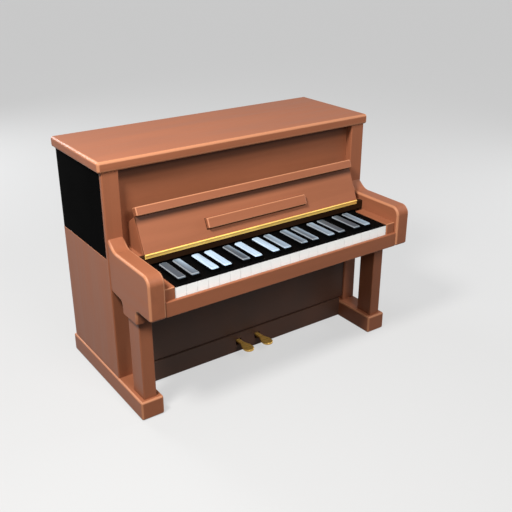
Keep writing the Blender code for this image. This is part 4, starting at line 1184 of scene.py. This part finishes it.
class PianoSizes(bpy.types.PropertyGroup):
    inset_bottom: length_property("Inset bottom", "Height at which the black side panel starts", 0.715)
    inset_depth: length_property("Inset depth", "Depth of the recess for the black side panel", 0.003)
    stile_strip: length_property("Stile strip", "Width of the stile seen from the side", 0.0205)
    stile_rounding: length_property("Stile rounding", "Radius of the stiles' front edges", 0.006)
    lid_rounding: length_property("Lid rounding", "Radius of the lid's edges", 0.013)
    arm_rounding: length_property("Arm rounding", "Radius of the arms' rims", 0.0119)
    arm_nose: length_property("Arm nose", "Radius of the arms' front", 0.046)
    foot_rounding: length_property("Foot rounding", "Radius of the feet's edges", 0.010)
    lip_rounding: length_property("Lip rounding", "Radius of the fallboard's lip and of the ledge", 0.0055)
    key_cover: length_property("Key cover", "Thickness of the covers of the naturals", 0.0022)
    key_rounding: length_property("Key rounding", "Radius of the covers' edges", 0.0009)
    sharp_rounding: length_property("Sharp rounding", "Radius of the sharps' upper edges", 0.0042)


class PianoLight(bpy.types.PropertyGroup):
    key: power_property("Key lamp", "Power of the lamp at the upper left", 240.0)
    front: power_property("Front lamp", "Power of the lamp in front", 105.0)
    side: power_property("Right lamp", "Power of the lamp at the right", 130.0)
    back: power_property("Back lamp", "Power of the lamp behind", 210.0)
    ambient: FloatProperty(name="Ambient", description="Strength of the light from all around",
                           default=0.04, min=0.0)
    lens: FloatProperty(name="Lens", description="Focal length in millimetres", default=51.665,
                        min=10.0, max=200.0)


class PIANO_OT_sides(bpy.types.Operator):
    """Make the side boards with their stiles and black inset panels"""

    bl_idname = "piano.sides"
    bl_label = "Side Boards"

    def execute(self, context):
        build_sides(context.scene.piano_sizes)
        return {"FINISHED"}


class PIANO_OT_arms(bpy.types.Operator):
    """Make the arms at both ends of the keyboard"""

    bl_idname = "piano.arms"
    bl_label = "Arms"

    def execute(self, context):
        build_arms(context.scene.piano_sizes)
        return {"FINISHED"}


class PIANO_OT_legs(bpy.types.Operator):
    """Make the legs on their sled feet"""

    bl_idname = "piano.legs"
    bl_label = "Legs and Feet"

    def execute(self, context):
        build_legs(context.scene.piano_sizes)
        return {"FINISHED"}


class PIANO_OT_lid(bpy.types.Operator):
    """Make the lid and its hinges"""

    bl_idname = "piano.lid"
    bl_label = "Lid"

    def execute(self, context):
        build_lid(context.scene.piano_sizes)
        return {"FINISHED"}


class PIANO_OT_panels(bpy.types.Operator):
    """Make the upper and lower front panels and the toe rail"""

    bl_idname = "piano.panels"
    bl_label = "Front Panels"

    def execute(self, context):
        build_upper_panel()
        build_lower_panels()
        return {"FINISHED"}


class PIANO_OT_keybed(bpy.types.Operator):
    """Make the keybed and the key slip with its end blocks"""

    bl_idname = "piano.keybed"
    bl_label = "Keybed and Slip"

    def execute(self, context):
        build_keybed()
        build_key_slip()
        return {"FINISHED"}


class PIANO_OT_naturals(bpy.types.Operator):
    """Make the naturals with black covers and white fronts"""

    bl_idname = "piano.naturals"
    bl_label = "Naturals"

    def execute(self, context):
        build_naturals(context.scene.piano_sizes)
        return {"FINISHED"}


class PIANO_OT_sharps(bpy.types.Operator):
    """Make the sharps with their rounded caps"""

    bl_idname = "piano.sharps"
    bl_label = "Sharps"

    def execute(self, context):
        build_sharps(context.scene.piano_sizes)
        return {"FINISHED"}


class PIANO_OT_fallboard(bpy.types.Operator):
    """Make the fallboard, its brass hinge, the nameboard and the music ledge"""

    bl_idname = "piano.fallboard"
    bl_label = "Fallboard"

    def execute(self, context):
        build_fallboard(context.scene.piano_sizes)
        build_nameboard()
        build_music_ledge(context.scene.piano_sizes)
        return {"FINISHED"}


class PIANO_OT_back(bpy.types.Operator):
    """Make the wooden back, the soundboard and the iron plate"""

    bl_idname = "piano.back"
    bl_label = "Back and Plate"

    def execute(self, context):
        build_back()
        return {"FINISHED"}


class PIANO_OT_strings(bpy.types.Operator):
    """Make the strings, the tuning pins and the hitch pins"""

    bl_idname = "piano.strings"
    bl_label = "Strings"

    def execute(self, context):
        build_strings()
        return {"FINISHED"}


class PIANO_OT_action(bpy.types.Operator):
    """Make the hammers and the dampers"""

    bl_idname = "piano.action"
    bl_label = "Action"

    def execute(self, context):
        build_hammers()
        build_dampers()
        return {"FINISHED"}


class PIANO_OT_pedals(bpy.types.Operator):
    """Make the two brass pedals"""

    bl_idname = "piano.pedals"
    bl_label = "Pedals"

    def execute(self, context):
        build_pedals()
        return {"FINISHED"}


class PIANO_OT_stage(bpy.types.Operator):
    """Make the floor, the light and the camera"""

    bl_idname = "piano.stage"
    bl_label = "Stage"

    def execute(self, context):
        build_stage(context.scene)
        return {"FINISHED"}


PIECES = (
    "sides", "arms", "legs", "lid", "panels", "keybed", "naturals", "sharps", "fallboard",
    "back", "strings", "action", "pedals", "stage",
)


class PIANO_PT_looks(bpy.types.Panel):
    """The piano's sizes, colours and pieces"""

    bl_idname = "PIANO_PT_looks"
    bl_label = "Upright Piano"
    bl_space_type = "VIEW_3D"
    bl_region_type = "UI"
    bl_category = "Piano"

    def draw(self, context):
        for group in ("piano_sizes", "piano_colours", "piano_light"):
            settings = getattr(context.scene, group)
            box = self.layout.box()
            for key in settings.__annotations__:
                box.prop(settings, key)
        column = self.layout.column(align=True)
        for piece in PIECES:
            column.operator("piano." + piece)


CLASSES = (
    PianoColours, PianoSizes, PianoLight,
    PIANO_OT_sides, PIANO_OT_arms, PIANO_OT_legs, PIANO_OT_lid, PIANO_OT_panels, PIANO_OT_keybed,
    PIANO_OT_naturals, PIANO_OT_sharps, PIANO_OT_fallboard, PIANO_OT_back, PIANO_OT_strings,
    PIANO_OT_action, PIANO_OT_pedals, PIANO_OT_stage, PIANO_PT_looks,
)


def register():
    for item in CLASSES:
        bpy.utils.register_class(item)
    bpy.types.Scene.piano_colours = PointerProperty(type=PianoColours)
    bpy.types.Scene.piano_sizes = PointerProperty(type=PianoSizes)
    bpy.types.Scene.piano_light = PointerProperty(type=PianoLight)


def unregister():
    del bpy.types.Scene.piano_colours
    del bpy.types.Scene.piano_sizes
    del bpy.types.Scene.piano_light
    for item in reversed(CLASSES):
        bpy.utils.unregister_class(item)


def main():
    """Make every piece in order."""
    register()
    for piece in PIECES:
        getattr(bpy.ops.piano, piece)()


if __name__ == "__main__":
    main()
